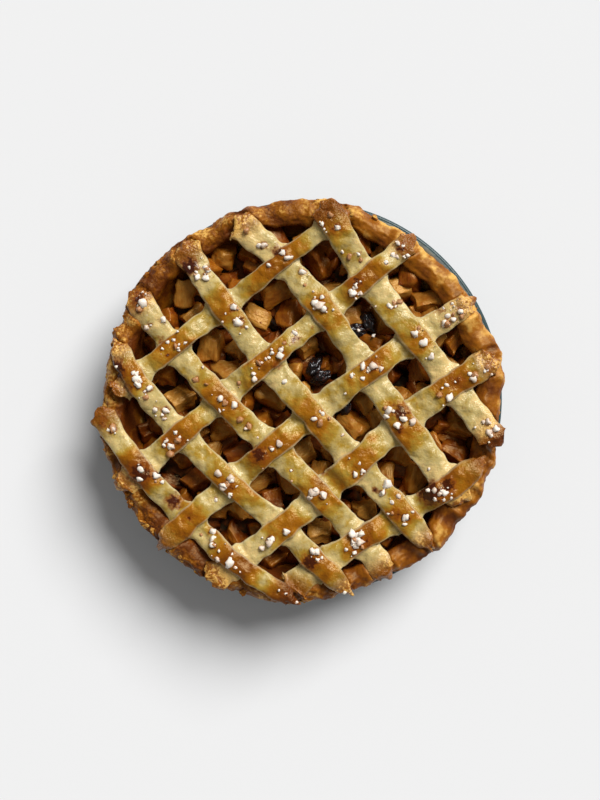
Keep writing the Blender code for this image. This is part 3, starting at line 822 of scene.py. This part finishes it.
def egg_washed_pastry():
    """Rolled pastry under egg wash: satin, straw to golden brown, with caramel round the burnt sugar."""
    material, tree, shader = new_material("egg_washed_pastry")
    place = add_node(tree, "TexCoord", give="Object")
    baked, burnt, side, dry = (
        add_node(tree, "Attribute", give="Fac", attribute_name=name)
        for name in ("browning", "caramel", "cut_side", "crumbly")
    )
    blotch, mottle, crumbs, bubbly, blister = (
        add_node(tree, "TexNoise", {"Vector": place, "Scale": 1 / (grain_mm * MM), "Detail": detail})
        for grain_mm, detail in ((12, 4), (4.5, 6), (1.8, 5), (2.6, 3), (1.6, 5))
    )
    spread = add_node(tree, "Math", {0: crumbs, 1: -0.5}, operation="ADD")
    spread = add_node(tree, "Math", {0: spread, 1: dry}, operation="MULTIPLY")
    toned = baked
    for pattern, share in ((blotch, 0.9), (mottle, 0.45), (spread, 0.9)):
        toned = add_node(tree, "Math", {0: pattern, 1: share, 2: toned}, operation="MULTIPLY_ADD")
    toned = add_node(tree, "MapRange", {"Value": toned, "From Min": 0.675, "From Max": 1.675})
    rolled = {0.0: "pastry_butter", 0.16: "pastry_pale", 0.36: "pastry_straw", 0.6: "pastry_golden",
              0.88: "pastry_brown"}
    crusty = {0.0: "crust_light", 0.1: "crust_golden", 0.42: "crust_brown", 0.8: "crust_dark"}
    ragged = add_node(tree, "Math", {0: bubbly, 1: 1.5, 2: burnt}, operation="MULTIPLY_ADD")
    stained = {"Value": ragged, "From Min": 0.95, "From Max": 1.35, "To Max": 0.8}
    burn = add_node(tree, "MapRange", {"Value": ragged, "From Min": 1.35, "From Max": 1.6})
    shade = add_node(tree, "ValToRGB", {0: toned}, stops=rolled)
    # The cut-side layer is partly painted highlight along the strips' edges.
    layers = (
        (side, tone("pastry_cut")),
        (dry, add_node(tree, "ValToRGB", {0: toned}, stops=crusty)),
        (add_node(tree, "MapRange", stained), tone("amber")),
        (burn, tone("caramel")),
    )
    for share, layer in layers:
        shade = add_node(tree, "Mix", {0: share, 6: shade, 7: layer}, give=2, data_type="RGBA")
    warmth = add_node(tree, "MapRange", {"Value": toned, "From Min": 0.2, "From Max": 0.5})
    glosses = {0: warmth, 6: PALE_GLOSS, 7: WARM_GLOSS}
    relief = add_node(tree, "MapRange", {"Value": dry, "To Min": 0.6 * MM, "To Max": 1.1 * MM})
    feed(shader, {
        "Base Color": shade,
        "Normal": add_node(tree, "Bump", {"Height": blister, "Strength": 0.8, "Distance": relief}),
        "Roughness": add_node(tree, "MapRange", {"Value": burn, "To Min": 0.24, "To Max": 0.16}),
        "Specular IOR Level": 0.45,
        "Specular Tint": add_node(tree, "Mix", glosses, give=2, data_type="RGBA"),
        "Subsurface Weight": 0.1,
        "Subsurface Radius": (2.5 * MM, 1.4 * MM, 0.6 * MM),
    })
    return material


def cooked_apple():
    """Apple cooked soft in syrup: translucent tan to amber, wet on its rounded cut faces."""
    material, tree, shader = new_material("cooked_apple")
    place = add_node(tree, "TexCoord", give="Object")
    soaked = add_node(tree, "Attribute", give="Fac", attribute_name="soaked")
    flesh = add_node(tree, "Attribute", give="Vector", attribute_name="flesh")
    along = add_node(tree, "VectorMath", {0: flesh, 1: FIBRE_SCALE}, operation="MULTIPLY")
    streak = add_node(tree, "TexNoise", {"Vector": along, "Scale": 1, "Detail": 4})
    cloud = add_node(tree, "TexNoise", {"Vector": place, "Scale": 1 / (5 * MM), "Detail": 6})
    # The soaked layer darkens towards amber and syrup lower down: partly painted shade.
    toned = soaked
    for pattern, share in ((cloud, 0.8), (streak, 0.6)):
        toned = add_node(tree, "Math", {0: pattern, 1: share, 2: toned}, operation="MULTIPLY_ADD")
    toned = add_node(tree, "MapRange", {"Value": toned, "From Min": 0.42, "From Max": 1.62})
    stops = {0.08: "apple_pale", 0.32: "apple_tan", 0.6: "apple_amber", 0.95: "syrup"}
    feed(shader, {
        "Base Color": add_node(tree, "ValToRGB", {0: toned}, stops=stops),
        "Normal": add_node(tree, "Bump", {"Height": streak, "Strength": 0.9, "Distance": 1.2 * MM}),
        "Roughness": 0.3,
        "Specular IOR Level": 0.5,
        "Specular Tint": SYRUP_GLOSS,
        "Subsurface Weight": 0.12,
        "Subsurface Radius": (4 * MM, 1.6 * MM, 0.5 * MM),
    })
    return material


def speckled(name, grain_mm, detail, stops, relief, inputs, layer=None, share=1.0):
    """A material whose colour and relief follow one noise, and a layer of numbers if one is named."""
    material, tree, shader = new_material(name)
    place = add_node(tree, "TexCoord", give="Object")
    pattern = add_node(tree, "TexNoise", {"Vector": place, "Scale": 1 / (grain_mm * MM), "Detail": detail})
    toned = pattern
    if layer:
        read = add_node(tree, "Attribute", give="Fac", attribute_name=layer)
        toned = add_node(tree, "Math", {0: pattern, 1: share, 2: read}, operation="MULTIPLY_ADD")
    strength, depth_mm = relief
    shade = add_node(tree, "ValToRGB", {0: toned}, stops=stops)
    bump = add_node(tree, "Bump", {"Height": pattern, "Strength": strength, "Distance": depth_mm * MM})
    feed(shader, {"Base Color": shade, "Normal": bump, **inputs})
    return material


def thick_syrup():
    """Apple juice boiled down dark between the pieces: nearly black and glossy, its darkness partly painted
    shade in the deep gaps.
    """
    gloss = {"Roughness": 0.45, "Specular IOR Level": 0.25, "Specular Tint": WARM_GLOSS}
    return speckled("thick_syrup", 5, 4, {0.4: "syrup", 0.75: "apple_amber"}, (0.5, 1), gloss)


def raisin_skin():
    """Plumped raisin skin: almost black, with a wet gloss on each wrinkle."""
    stops = {0.5: "raisin", 1.0: "crust_dark"}
    return speckled("raisin_skin", 2.5, 4, stops, (0.3, 0.3), {"Roughness": 0.26})


def pearl_sugar():
    """Pressed pearl sugar: opaque white nibs, some of them melted to amber at the edges."""
    body = {"Roughness": 0.4, "Subsurface Weight": 0.25, "Subsurface Radius": (1 * MM, 0.8 * MM, 0.6 * MM)}
    stops = {0.3: "sugar", 0.95: "sugar_amber"}
    return speckled("pearl_sugar", 0.8, 3, stops, (0.4, 0.3), body, layer="melted", share=0.4)


def painted_board():
    """Pale matt paint on a board: even and without a gloss, so that the floor stays plain."""
    material, _, shader = new_material("painted_board")
    feed(shader, {"Base Color": tone("floor"), "Roughness": 0.9})
    return material


class PIE_OT_stage(Operator):
    """Lays the pale floor and sets the soft key light, the sky and the camera overhead"""

    bl_idname = "pie.stage"
    bl_label = "Stage"

    def execute(self, context):
        scene = context.scene
        shape = bmesh.new()
        bmesh.ops.create_grid(shape, x_segments=1, y_segments=1, size=FLOOR_REACH)
        bmesh.ops.translate(shape, vec=(0, 0, -FLOOR_DROP), verts=shape.verts)
        new_object("floor", shape, painted_board())

        key = bpy.data.lights.new("key", "SUN")
        key.energy = KEY_STRENGTH
        key.angle = KEY_SPREAD
        lamp = bpy.data.objects.new("key", key)
        lamp.rotation_euler = KEY_DIRECTION.to_track_quat("Z", "Y").to_euler()
        scene.collection.objects.link(lamp)

        scene.world = bpy.data.worlds.new("sky")
        scene.world.use_nodes = True
        feed(scene.world.node_tree.nodes["Background"], {"Color": (1, 1, 1, 1), "Strength": SKY_STRENGTH})
        scene.view_settings.view_transform = "Standard"

        camera = bpy.data.cameras.new("camera")
        camera.sensor_width = LENS_SENSOR
        camera.lens = LENS_SENSOR * CAMERA_DISTANCE / PAGE_HEIGHT
        eye = bpy.data.objects.new("camera", camera)
        eye.location = (*PAGE_CENTRE, LATTICE_EDGE + CAMERA_DISTANCE)
        scene.collection.objects.link(eye)
        scene.camera = eye
        return {"FINISHED"}


class PIE_OT_dish(Operator):
    """Turns the glazed dish, with its flat base, flared wall and rounded lip"""

    bl_idname = "pie.dish"
    bl_label = "Dish"

    def execute(self, context):
        radius = sizes().dish_radius
        height = sizes().dish_height
        profile = [
            (0, 0),
            (BASE_RADIUS - LIP_ROUND, 0),
            (BASE_RADIUS, LIP_ROUND),
            (radius - LIP_ROUND, height - 3 * LIP_ROUND),
            (radius, height - 2 * LIP_ROUND),
            (radius - 0.5 * LIP_ROUND, height - 0.5 * LIP_ROUND),
            (radius - 2 * LIP_ROUND, height),
            (radius - LIP_WIDTH, height - LIP_ROUND),
            (FLOOR_RADIUS + KNEE_OUT, FLOOR_HEIGHT + KNEE_RISE),
            (FLOOR_RADIUS, FLOOR_HEIGHT),
            (0, FLOOR_HEIGHT),
        ]
        shape, _ = spun(profile, DISH_SPIN)
        dish = add_piece("pie_dish", shape, glazed_stoneware(), "glaze", "dish")
        rounding = dish.modifiers.new("rounded", "BEVEL")
        rounding.width = GLAZE_ROUND
        rounding.segments = 3
        rounding.limit_method = "ANGLE"
        rounding.angle_limit = math.radians(12)
        return {"FINISHED"}


class PressedEnds:
    """Where the strips' ends are pressed into the rim, so that its pastry is squeezed up beside them."""

    def __init__(self, strips):
        self.stations = [
            strip.station(distance * MM if first else strip.length - distance * MM)
            for strip in strips for distance in range(PRESSED_MM) for first in (True, False)
        ]
        self.tree = kdtree.KDTree(len(self.stations))
        for number, station in enumerate(self.stations):
            self.tree.insert((*station.point, 0), number)
        self.tree.balance()

    def rise(self, place):
        """How far the rim rises at a point: most along the strips' sides, and hardly under them."""
        station = self.stations[self.tree.find((place.x, place.y, 0))[1]]
        off = place.xy - station.point
        outside = abs(off.dot(station.left)) - station.half
        beyond = max(0, abs(off.dot(station.forward)) - 0.6 * MM)
        if outside < 0 and beyond == 0:
            return SQUEEZED_RISE * math.exp(-((outside / (0.8 * MM)) ** 2))
        return SQUEEZED_RISE * math.exp(-((math.hypot(max(0, outside), beyond) / SQUEEZED_WIDTH) ** 2))


def overhang(angle):
    """How far the crust hangs out over the lip beyond its usual edge."""
    out = 0.0
    for degrees, reach_mm, spread in OVERHANGS:
        turn = (math.degrees(angle) - degrees + 180) % 360 - 180
        out += reach_mm * math.exp(-((turn / spread) ** 2))
    return out * MM


class PIE_OT_crust(Operator):
    """Makes the craggy crust that lines the dish and stands up as its rim"""

    bl_idname = "pie.crust"
    bl_label = "Crust"

    def execute(self, context):
        shape, row = spun(curve_through(crust_profile(0), CRUST_PARTS), CRUST_SPIN)
        browning, crumbly = float_layers(shape, "browning", "crumbly")
        first_seen, last_seen = sum(CRUST_PARTS[:4]), sum(CRUST_PARTS[:11])
        profiles = {}
        for vert in shape.verts:
            if vert.co.xy.length < 1 * MM:
                continue
            turn = math.atan2(vert.co.y, vert.co.x) % math.tau
            step = round(turn * CRUST_SPIN / math.tau) % CRUST_SPIN
            angle = math.tau * step / CRUST_SPIN
            if step not in profiles:
                profiles[step] = curve_through(crust_profile(angle), CRUST_PARTS)
            vert.co = around(angle, *profiles[step][vert[row]])
        shape.normal_update()
        pressed = PressedEnds(woven_strips())
        moves = []
        for vert in shape.verts:
            if not first_seen <= vert[row] <= last_seen:
                continue
            angle = math.atan2(vert.co.y, vert.co.x)
            craggy = 0.65 - 0.35 * math.cos(angle - SHRUNK_ANGLE)
            lump = grain_of(vert.co, 9, 3.1)
            crack = max(0, 0.3 - abs(grain_of(vert.co, 6, 8.4)))
            crumb = grain_of(vert.co, 2, 1.2)
            flake = max(0, grain_of(vert.co, 3.4, 7.3))
            layer = math.sin(vert.co.z / (0.55 * MM) + 5 * grain_of(vert.co, 12, 6.6))
            seen, left = vert[row] - first_seen, last_seen - vert[row]
            outer = smooth(seen / FLAKY_COME) * (1 - smooth((seen - FLAKY_STAY) / FLAKY_GO))
            inner = smooth((INNER_ROWS - left) / INNER_ROWS)
            within = smooth((WITHIN_ROWS - left) / WITHIN_COME)
            push = (0.9 * lump - 1.3 * craggy * crack + 0.25 * crumb) * (1 - 0.5 * inner)
            push += (0.2 * layer + 0.9 * flake) * craggy * outer
            out = around(angle, 1) * overhang(angle) * outer
            up = Vector((0, 0, pressed.rise(vert.co))) * (1 - inner)
            # The crust is browner where it is craggier, towards the lower left, and paler towards the upper
            # right.
            toward_upper_right = max(0, math.cos(angle - SHRUNK_ANGLE)) ** 2
            vert[crumbly] = smooth(0.5 - 0.75 * math.cos(angle)) * (1 - 0.6 * within)
            # Painted light and shade: paler on high lumps and on flakes as painted highlights, and darker in
            # the cracks as painted shade.
            vert[browning] = (
                0.17 * craggy + 0.01 - 0.04 * toward_upper_right + 0.32 * caught(vert.co) + 0.19 * within - 0.12 * lump
                + 0.5 * crack * craggy - 0.12 * flake
            )
            moves.append((vert, vert.normal * push * MM + out + up))
        for vert, move in moves:
            vert.co += move
        add_piece("pie_crust", shape, baked_shortcrust(), "crust", "crust")
        return {"FINISHED"}


def add_block(shape, draw):
    """A block like an apple piece before it is turned, one cell of a cube with its corners set askew."""
    block = bmesh.ops.create_cube(shape, size=1)["verts"]
    taper = draw.uniform(0.55, 0.85)
    for vert in block:
        askew = Vector(draw.uniform(-0.08, 0.08) for _ in range(3))
        vert.co = (vert.co + askew) * PIECE_SIZE
        if vert.co.z > 0:
            vert.co.y *= taper
    bmesh.ops.scale(shape, vec=PIECE_PLUMP, verts=block)
    bmesh.ops.scale(shape, vec=Vector.Fill(3, draw.uniform(0.85, 1.05)), verts=block)


def apple_piece(centre, draw, cook):
    """One piece of apple as its own bmesh, with its vertices' places before it was turned. draw gives its
    form and cook what the oven did to it."""
    shape = bmesh.new()
    add_block(shape, draw)
    turn = Euler([draw.gauss(0, 0.35), draw.gauss(0, 0.25), draw.uniform(0, math.tau)])
    for _ in range(cook.choice((0, 1, 1, 2, 2))):
        corner = Vector((cook.choice((-1, 1)), cook.choice((-1, 1)) * cook.random(), cook.uniform(0, 1)))
        corner.normalize()
        reach = max(vert.co.dot(corner) for vert in shape.verts)
        cut = bmesh.ops.bisect_plane(
            shape,
            geom=shape.verts[:] + shape.edges[:] + shape.faces[:],
            plane_co=corner * reach * cook.uniform(0.55, 0.75),
            plane_no=corner,
            clear_outer=True,
        )
        loop = [part for part in cut["geom_cut"] if isinstance(part, bmesh.types.BMEdge)]
        bmesh.ops.contextual_create(shape, geom=loop)
    bmesh.ops.bevel(
        shape, geom=shape.edges[:], offset=cook.uniform(0.6, 1.2) * MM, offset_type="OFFSET",
        segments=2, profile=0.5, affect="EDGES", material=-1
    )
    long_edges = [edge for edge in shape.edges if edge.calc_length() > LONG_EDGE]
    bmesh.ops.subdivide_edges(shape, edges=long_edges, cuts=4, use_grid_fill=True)
    for _ in range(2):
        bmesh.ops.smooth_vert(
            shape, verts=shape.verts, factor=0.5, use_axis_x=True, use_axis_y=True, use_axis_z=True
        )
    flesh = [vert.co + centre for vert in shape.verts]
    lay(shape, shape.verts, turn, centre)
    bmesh.ops.recalc_face_normals(shape, faces=shape.faces)
    shape.normal_update()
    moves = []
    for vert in shape.verts:
        lump, dent, crumb = (grain_of(vert.co, *kind) for kind in ((8, 2.2), (3.4, 5.1), (1.7, 6.3)))
        moves.append((vert, vert.normal * (1.1 * lump + 0.6 * dent + 0.25 * crumb) * MM))
    for vert, move in moves:
        vert.co += move
        past_wall = vert.co.xy.length / (wall_radius(vert.co.z) - 2 * MM)
        if past_wall > 1:
            vert.co.xy /= past_wall
    return shape, flesh


def piece_places():
    """The first layer of apple in rows, as (place, lift), with the same draws as the pieces' own forms."""
    draw = random.Random(APPLE_SEED)
    rows = int(PIECES_WITHIN / (PIECE_PITCH * math.sqrt(0.75)))
    for row in range(-rows, rows + 1):
        for column in range(-rows - 2, rows + 3):
            place = Vector((column + 0.5 * (row % 2), row * math.sqrt(0.75))) * PIECE_PITCH
            place += Vector((draw.uniform(-1.5, 1.5), draw.uniform(-1.5, 1.5))) * MM
            lift = draw.uniform(-2.5, 1.5) * MM
            if place.length < PIECES_WITHIN:
                yield place, lift, draw


class PIE_OT_apple(Operator):
    """Heaps two layers of cooked apple pieces over the core of the filling"""

    bl_idname = "pie.apple"
    bl_label = "Apple pieces"

    def execute(self, context):
        cook = random.Random("cooked")
        heap = bmesh.new()
        layers = heap.verts.layers.float.new("soaked"), heap.verts.layers.float_vector.new("flesh")
        for place, lift, draw in piece_places():
            piece = apple_piece(Vector((*place, PIECE_LEVEL + lift)), draw, cook)
            self.add(heap, layers, piece, cook.uniform(-0.32, 0.4))
            lower = place + Vector((0.5, 0.29)) * PIECE_PITCH
            if lower.length < PIECES_WITHIN:
                level = PIECE_LEVEL - sizes().filling_bed + cook.uniform(-1.5, 1.5) * MM
                piece = apple_piece(Vector((*lower, level)), cook, cook)
                self.add(heap, layers, piece, cook.uniform(0, 0.45))
        for step in range(WALL_PIECES):
            angle = math.tau * (step + cook.uniform(-0.2, 0.2)) / WALL_PIECES
            reach = WALL_PIECES_AT - cook.uniform(0, 4) * MM
            level = PIECE_LEVEL + WALL_PIECES_RISE * math.cos(angle - SHRUNK_ANGLE)
            level += cook.uniform(-1.5, 1.5) * MM
            piece = apple_piece(around(angle, reach, level), cook, cook)
            self.add(heap, layers, piece, cook.uniform(-0.1, 0.4))
        add_piece("apple_pieces", heap, cooked_apple(), "filling", "filling")
        return {"FINISHED"}

    @staticmethod
    def add(heap, layers, piece, soaking):
        """Adds one piece to the heap with its fibres, and says how far syrup has soaked it and how much
        painted shade darkens it lower down.
        """
        soaked, fibres = layers
        shape, flesh = piece
        for vert, place in zip(pour(heap, shape), flesh):
            # Painted shade: the lower a vertex lies, the darker it is painted, for the shade between and
            # under the pieces as well as the syrup they sink in.
            depth = smooth((PIECE_LEVEL + SOAKED_SHADED_UNDER - vert.co.z) / SOAKED_SHADED_OVER)
            vert[soaked] = soaking + 0.7 * depth
            vert[fibres] = place


class PIE_OT_syrup(Operator):
    """Makes the core of the filling: dark syrup and pulp that the pieces are sunk in"""

    bl_idname = "pie.syrup"
    bl_label = "Syrup"

    def execute(self, context):
        gap = sizes().crust_thickness + 1.2 * CLEARANCE
        low = FLOOR_HEIGHT + sizes().crust_thickness + 2 * CLEARANCE
        shoulder = FILLING_EDGE - 2 * MM
        middle = FILLING_MIDDLE - 2 * MM
        edge = wall_radius(shoulder) - gap - CLEARANCE
        shares = [part / 16 for part in range(15, 0, -1)]
        profile = [
            (0, low),
            (FLOOR_RADIUS - gap - CLEARANCE, low),
            (wall_radius(INNER_BEND) - gap - CLEARANCE, INNER_BEND),
            (edge, shoulder),
            *((edge * share, middle + (shoulder - middle) * share**4) for share in shares),
            (0, middle),
        ]
        shape, row = spun(profile, SYRUP_SPIN)
        for vert in shape.verts:
            if vert[row] > 3:
                vert.co.z += 1.1 * MM * grain_of(vert.co, 10, 4.4)
        core = add_piece("syrup_core", shape, thick_syrup(), "filling", "filling")
        rounding = core.modifiers.new("rounding", "SUBSURF")
        rounding.levels = rounding.render_levels = 1
        return {"FINISHED"}


class PIE_OT_raisins(Operator):
    """Drops the wrinkled raisins on the apple pieces"""

    bl_idname = "pie.raisins"
    bl_label = "Raisins"

    def execute(self, context):
        heap = bmesh.new()
        for number, (x, y, share) in enumerate(RAISINS):
            centre = Vector((x * MM, y * MM, RAISIN_LEVEL - (1 - share) * RAISIN_SIZE.z))
            raisin = bmesh.ops.create_icosphere(heap, subdivisions=5, radius=0.5)["verts"]
            for vert in raisin:
                ridges = Vector((vert.co.x * 3, vert.co.y * 8, vert.co.z * 8)) + Vector.Fill(3, number * 7.7)
                fold = abs(noise.noise(ridges)) + 0.35 * abs(noise.noise(ridges * 2.1))
                uneven = 1 + 0.2 * wobble(*(vert.co * 3 + centre * 300)) - 0.8 * max(0, 0.2 - fold)
                vert.co = [along * extent * uneven * share for along, extent in zip(vert.co, RAISIN_SIZE)]
            lay(heap, raisin, Euler((0, 0.2, 1.1 + 2.4 * number)), centre)
        add_piece("raisins", heap, raisin_skin(), "filling", "filling")
        return {"FINISHED"}


def caramel_at(place, grains):
    """How burnt a strip is at a place, from the spots of caramel and from its hot grains."""
    burnt = 0.0
    for x, y, radius, heat in CARAMEL:
        off = (place.xy - Vector((x, y)) * MM).length / (radius * MM)
        burnt = max(burnt, heat * (1.5 - 0.8 * off))
    for number, grain in enumerate(grains):
        off = (place.xy - grain.centre.xy).length / grain.radius
        burnt = max(burnt, (0.75 if number % 3 == 0 else 0.42) * (1.75 - 0.7 * off))
    return burnt


def strip_shape(strip):
    """The strip as a closed bmesh: a grid that is thickened, rounded and laid along its middle line."""
    shape = bmesh.new()
    browning, caramel, cut_side, crumbly = float_layers(shape, "browning", "caramel", "cut_side", "crumbly")
    steps = round(strip.length / STRIP_STEP)
    bmesh.ops.create_grid(shape, x_segments=steps, y_segments=STRIP_ROWS, size=0.5)
    upper = bmesh.ops.extrude_face_region(shape, geom=shape.faces[:])["geom"]
    upper = [part for part in upper if isinstance(part, bmesh.types.BMVert)]
    bmesh.ops.translate(shape, vec=(0, 0, 1), verts=upper)
    grains = strip.grains()
    stations = [strip.station(strip.length * step / steps) for step in range(steps + 1)]
    for vert in shape.verts:
        step = round((vert.co.x + 0.5) * steps)
        here = stations[step]
        across = math.sin(vert.co.y * math.pi)
        top = round(vert.co.z)
        side = 1 if 2 * step > steps else -1
        near_end = 1 - smooth(here.from_end / END_CRAGGY)
        torn = END_RAG * (1 - smooth(here.from_end / (2 * END_STEP)))
        jag = wobble(across * 1.6, strip.number * 3.7, side * 2.2)
        jag += 0.4 * wobble(across * 5, side, strip.number)
        jag -= 0.3 + 2.2 * abs(across) ** 2
        flat = Vector((*(here.point + here.left * across * here.half), 0))
        wave = 0.75 * grain_of(flat, 9, strip.number)
        wave += (0.12 + 0.4 * near_end) * grain_of(flat, 3, strip.number)
        flat.xy += here.left * across**3 * wave * (1 + near_end) * MM + here.forward * side * torn * jag
        if top:
            crease = max(0, 0.22 - abs(grain_of(flat, 17, 12.3 + strip.number)))
            puff = 0.55 * grain_of(flat, 9, 5.5) - 2 * crease
            puff += 0.42 * grain_of(flat, 4.2, 9.1) + 0.12 * grain_of(flat, 1.4, 4.1)
            folds = 0.5 - abs(grain_of(flat, 6, 2.7))
            crag = near_end * (1.1 * folds + 0.6 * grain_of(flat, 2.6, 3.9) + 0.3 * grain_of(flat, 1.3, 1.9))
            ripple = math.sin(strip.length * step / steps / (0.45 * MM) + 2 * across)
            wrinkle = 0.12 * ripple * here.stuck * (1 - here.stuck)
            squeezed = 0.9 * here.stuck**3
            rise = rounded(across) * here.thickness + (puff + crag + wrinkle * 4 + squeezed) * MM
        else:
            rise = 0.12 * abs(across) ** 8 * here.thickness
        vert.co = (flat.x, flat.y, here.height + rise)
        from_middle = (flat.xy - CRUST_SHIFT).length
        rim = smooth((from_middle - RIM_FROM) / RIM_OVER)
        outward = smooth((from_middle - PALER_FROM) / PALER_OVER)
        blotch = 0.1 * grain_of(flat, 24, strip.number * 1.7)
        dry = smooth(1.6 * rim - 0.5) * (1 - smooth(here.from_end / END_DRY - 0.2))
        # Painted light: towards the rim the low stretches are painted paler and the humps' browning is
        # narrowed, for the stronger light they catch there.
        hump = here.hump ** (1 + 1.3 * outward)
        vert[browning] = (
            strip.baked + 0.24 + 0.38 * hump - 0.06 * here.stuck - (0.08 * outward + 0.24 * rim) * (1 - hump)
            + blotch + 0.16 * caught(flat) + 0.18 * dry
        )
        vert[caramel] = caramel_at(flat, grains) * top
        # Partly painted highlight: both edges are painted paler, for the unglazed cut sides and for the
        # highlight their rounding catches.
        vert[cut_side] = 0.6 * smooth((abs(across) - 0.82) / 0.18) * (1 - 0.6 * rim)
        vert[crumbly] = dry
    bmesh.ops.recalc_face_normals(shape, faces=shape.faces)
    return shape


class PIE_OT_lattice(Operator):
    """Weaves the eleven strips of the lattice and presses their ends on the rim"""

    bl_idname = "pie.lattice"
    bl_label = "Lattice"

    def execute(self, context):
        pastry = egg_washed_pastry()
        for strip in woven_strips():
            add_piece(f"pastry_{strip.name}", strip_shape(strip), pastry, "lattice", strip.name)
        return {"FINISHED"}


def add_nib(heap, layer, centre, extent, turn, subdivisions, value):
    """Adds a nib to a heap: an icosphere made lumpy, stretched, turned and put in its place."""
    nib = bmesh.new()
    bmesh.ops.create_icosphere(nib, subdivisions=subdivisions, radius=0.5)
    facets = random.Random(round(centre.x / (0.01 * MM)))
    for _ in range(NIB_FACETS):
        facet = Vector(facets.gauss(0, 1) for _ in range(3)).normalized()
        depth = facets.uniform(0.3, 0.42)
        for vert in nib.verts:
            vert.co -= facet * max(0, vert.co.dot(facet) - depth)
    for vert in nib.verts:
        lump, dent = wobble(*(vert.co * 3 + centre * 300)), wobble(*(vert.co * 9 + centre * 500))
        uneven = 1.08 + 0.3 * lump + 0.07 * dent
        vert.co = [along * reach * uneven for along, reach in zip(vert.co, extent)]
    lay(nib, nib.verts, Euler(turn), centre)
    too_high = max(vert.co.z for vert in nib.verts) - CAD_BOX[1].z + 0.1 * MM
    bmesh.ops.translate(nib, vec=(0, 0, -max(0, too_high)), verts=nib.verts)
    for vert in pour(heap, nib):
        vert[layer] = value


class PIE_OT_sugar(Operator):
    """Scatters the pearl sugar over the lattice, in spills"""

    bl_idname = "pie.sugar"
    bl_label = "Pearl sugar"

    def execute(self, context):
        shape = bmesh.new()
        melted = float_layers(shape, "melted")[0]
        for strip in woven_strips():
            dust = random.Random(f"{strip.name} dust")
            for grain in strip.grains():
                heat = dust.choice((0, 0, 0.05, 0.15, 0.3, 0.7))
                extent = Vector(part * dust.uniform(1.1, 1.65) for part in grain.size)
                centre = grain.centre - Vector((0, 0, SUGAR_SUNK))
                add_nib(shape, melted, centre, extent, grain.turn, 2, heat)
                for _ in range(dust.randrange(sizes().grain_crumbs + 1)):
                    self.add_dust(shape, melted, strip, grain, dust)
        for x, y, z, radius in FALLEN_SUGAR:
            extent = Vector((2.4, 2, 1.8)) * radius * MM
            add_nib(shape, melted, Vector((x, y, z)) * MM, extent, (x, y, z), 2, 0.1)
        add_piece("pearl_sugar", shape, pearl_sugar(), "lattice")
        return {"FINISHED"}

    @staticmethod
    def add_dust(shape, melted, strip, grain, dust):
        """Adds a small crumb of sugar beside a grain, unless another strip would cover it."""
        distance = grain.distance + dust.gauss(0, DUST_SPREAD)
        across = max(-0.8, min(0.8, grain.across + dust.gauss(0, 0.5)))
        if strip.covered(distance) or strip.from_end(distance) < SUGAR_FREE:
            return
        width = dust.uniform(0.8, 2.1) * MM
        top = strip.height(distance) + strip.thickness(distance) * 0.97 + 0.2 * width
        centre = Vector((*strip.place(distance, across), top))
        turn = [dust.uniform(0, math.tau) for _ in range(3)]
        add_nib(shape, melted, centre, Vector.Fill(3, width), turn, 1, dust.choice((0, 0.1, 0.3, 0.6)))


class PIE_OT_crumbs(Operator):
    """Sticks a few baked crumbs to the outer edge of the crust's rim"""

    bl_idname = "pie.crumbs"
    bl_label = "Crumbs"

    def execute(self, context):
        shape = bmesh.new()
        browning, crumbly = float_layers(shape, "browning", "crumbly")
        lip, rise = sizes().dish_height, sizes().rim_height
        for degrees, radius_mm in CRUMBS:
            angle = math.radians(degrees)
            centre = around(angle, edge_radius(angle) - 0.2 * radius_mm * MM, lip + 0.6 * rise)
            extent = Vector((2.4, 1.7, 1.5)) * radius_mm * MM
            add_nib(shape, browning, centre, extent, (0.4, 0.3, angle + 1.1), 4, 0.05)
        draw = random.Random("flakes")
        for _ in range(FLAKES):
            angle = SHRUNK_ANGLE + math.pi - 0.3 + draw.gauss(0, 0.8)
            reach = edge_radius(angle) + overhang(angle) - draw.uniform(0.8, 3) * MM
            centre = around(angle, reach, lip + draw.uniform(0.35, 0.8) * rise)
            extent = Vector((draw.uniform(3, 6.5), draw.uniform(2.4, 4.6), draw.uniform(1, 2))) * MM
            turn = (draw.gauss(0, 0.3), draw.gauss(0, 0.3), angle + draw.gauss(1.6, 0.35))
            add_nib(shape, browning, centre, extent, turn, 3, draw.uniform(-0.15, 0.15))
        for vert in shape.verts:
            vert[crumbly] = 1
        add_piece("crust_crumbs", shape, baked_shortcrust(), "crust")
        return {"FINISHED"}


PIECES = (
    PIE_OT_stage, PIE_OT_dish, PIE_OT_crust, PIE_OT_crumbs, PIE_OT_syrup, PIE_OT_apple, PIE_OT_raisins,
    PIE_OT_lattice, PIE_OT_sugar
)


class PIE_PT_panel(Panel):
    bl_idname = "PIE_PT_panel"
    bl_label = "Lattice apple pie"
    bl_space_type = "VIEW_3D"
    bl_region_type = "UI"
    bl_category = "Pie"

    def draw(self, context):
        for piece in PIECES:
            self.layout.operator(piece.bl_idname)
        for group in (context.scene.pie_sizes, context.scene.pie_colours):
            for name in group.__annotations__:
                self.layout.prop(group, name)


CLASSES = (PieSizes, PieColours, *PIECES, PIE_PT_panel)


def register():
    for kind in CLASSES:
        bpy.utils.register_class(kind)
    bpy.types.Scene.pie_sizes = PointerProperty(type=PieSizes)
    bpy.types.Scene.pie_colours = PointerProperty(type=PieColours)


def unregister():
    del bpy.types.Scene.pie_colours
    del bpy.types.Scene.pie_sizes
    for kind in reversed(CLASSES):
        bpy.utils.unregister_class(kind)


def main():
    register()
    bpy.ops.pie.stage()
    bpy.ops.pie.dish()
    bpy.ops.pie.crust()
    bpy.ops.pie.crumbs()
    bpy.ops.pie.syrup()
    bpy.ops.pie.apple()
    bpy.ops.pie.raisins()
    bpy.ops.pie.lattice()
    bpy.ops.pie.sugar()


if __name__ == "__main__":
    main()
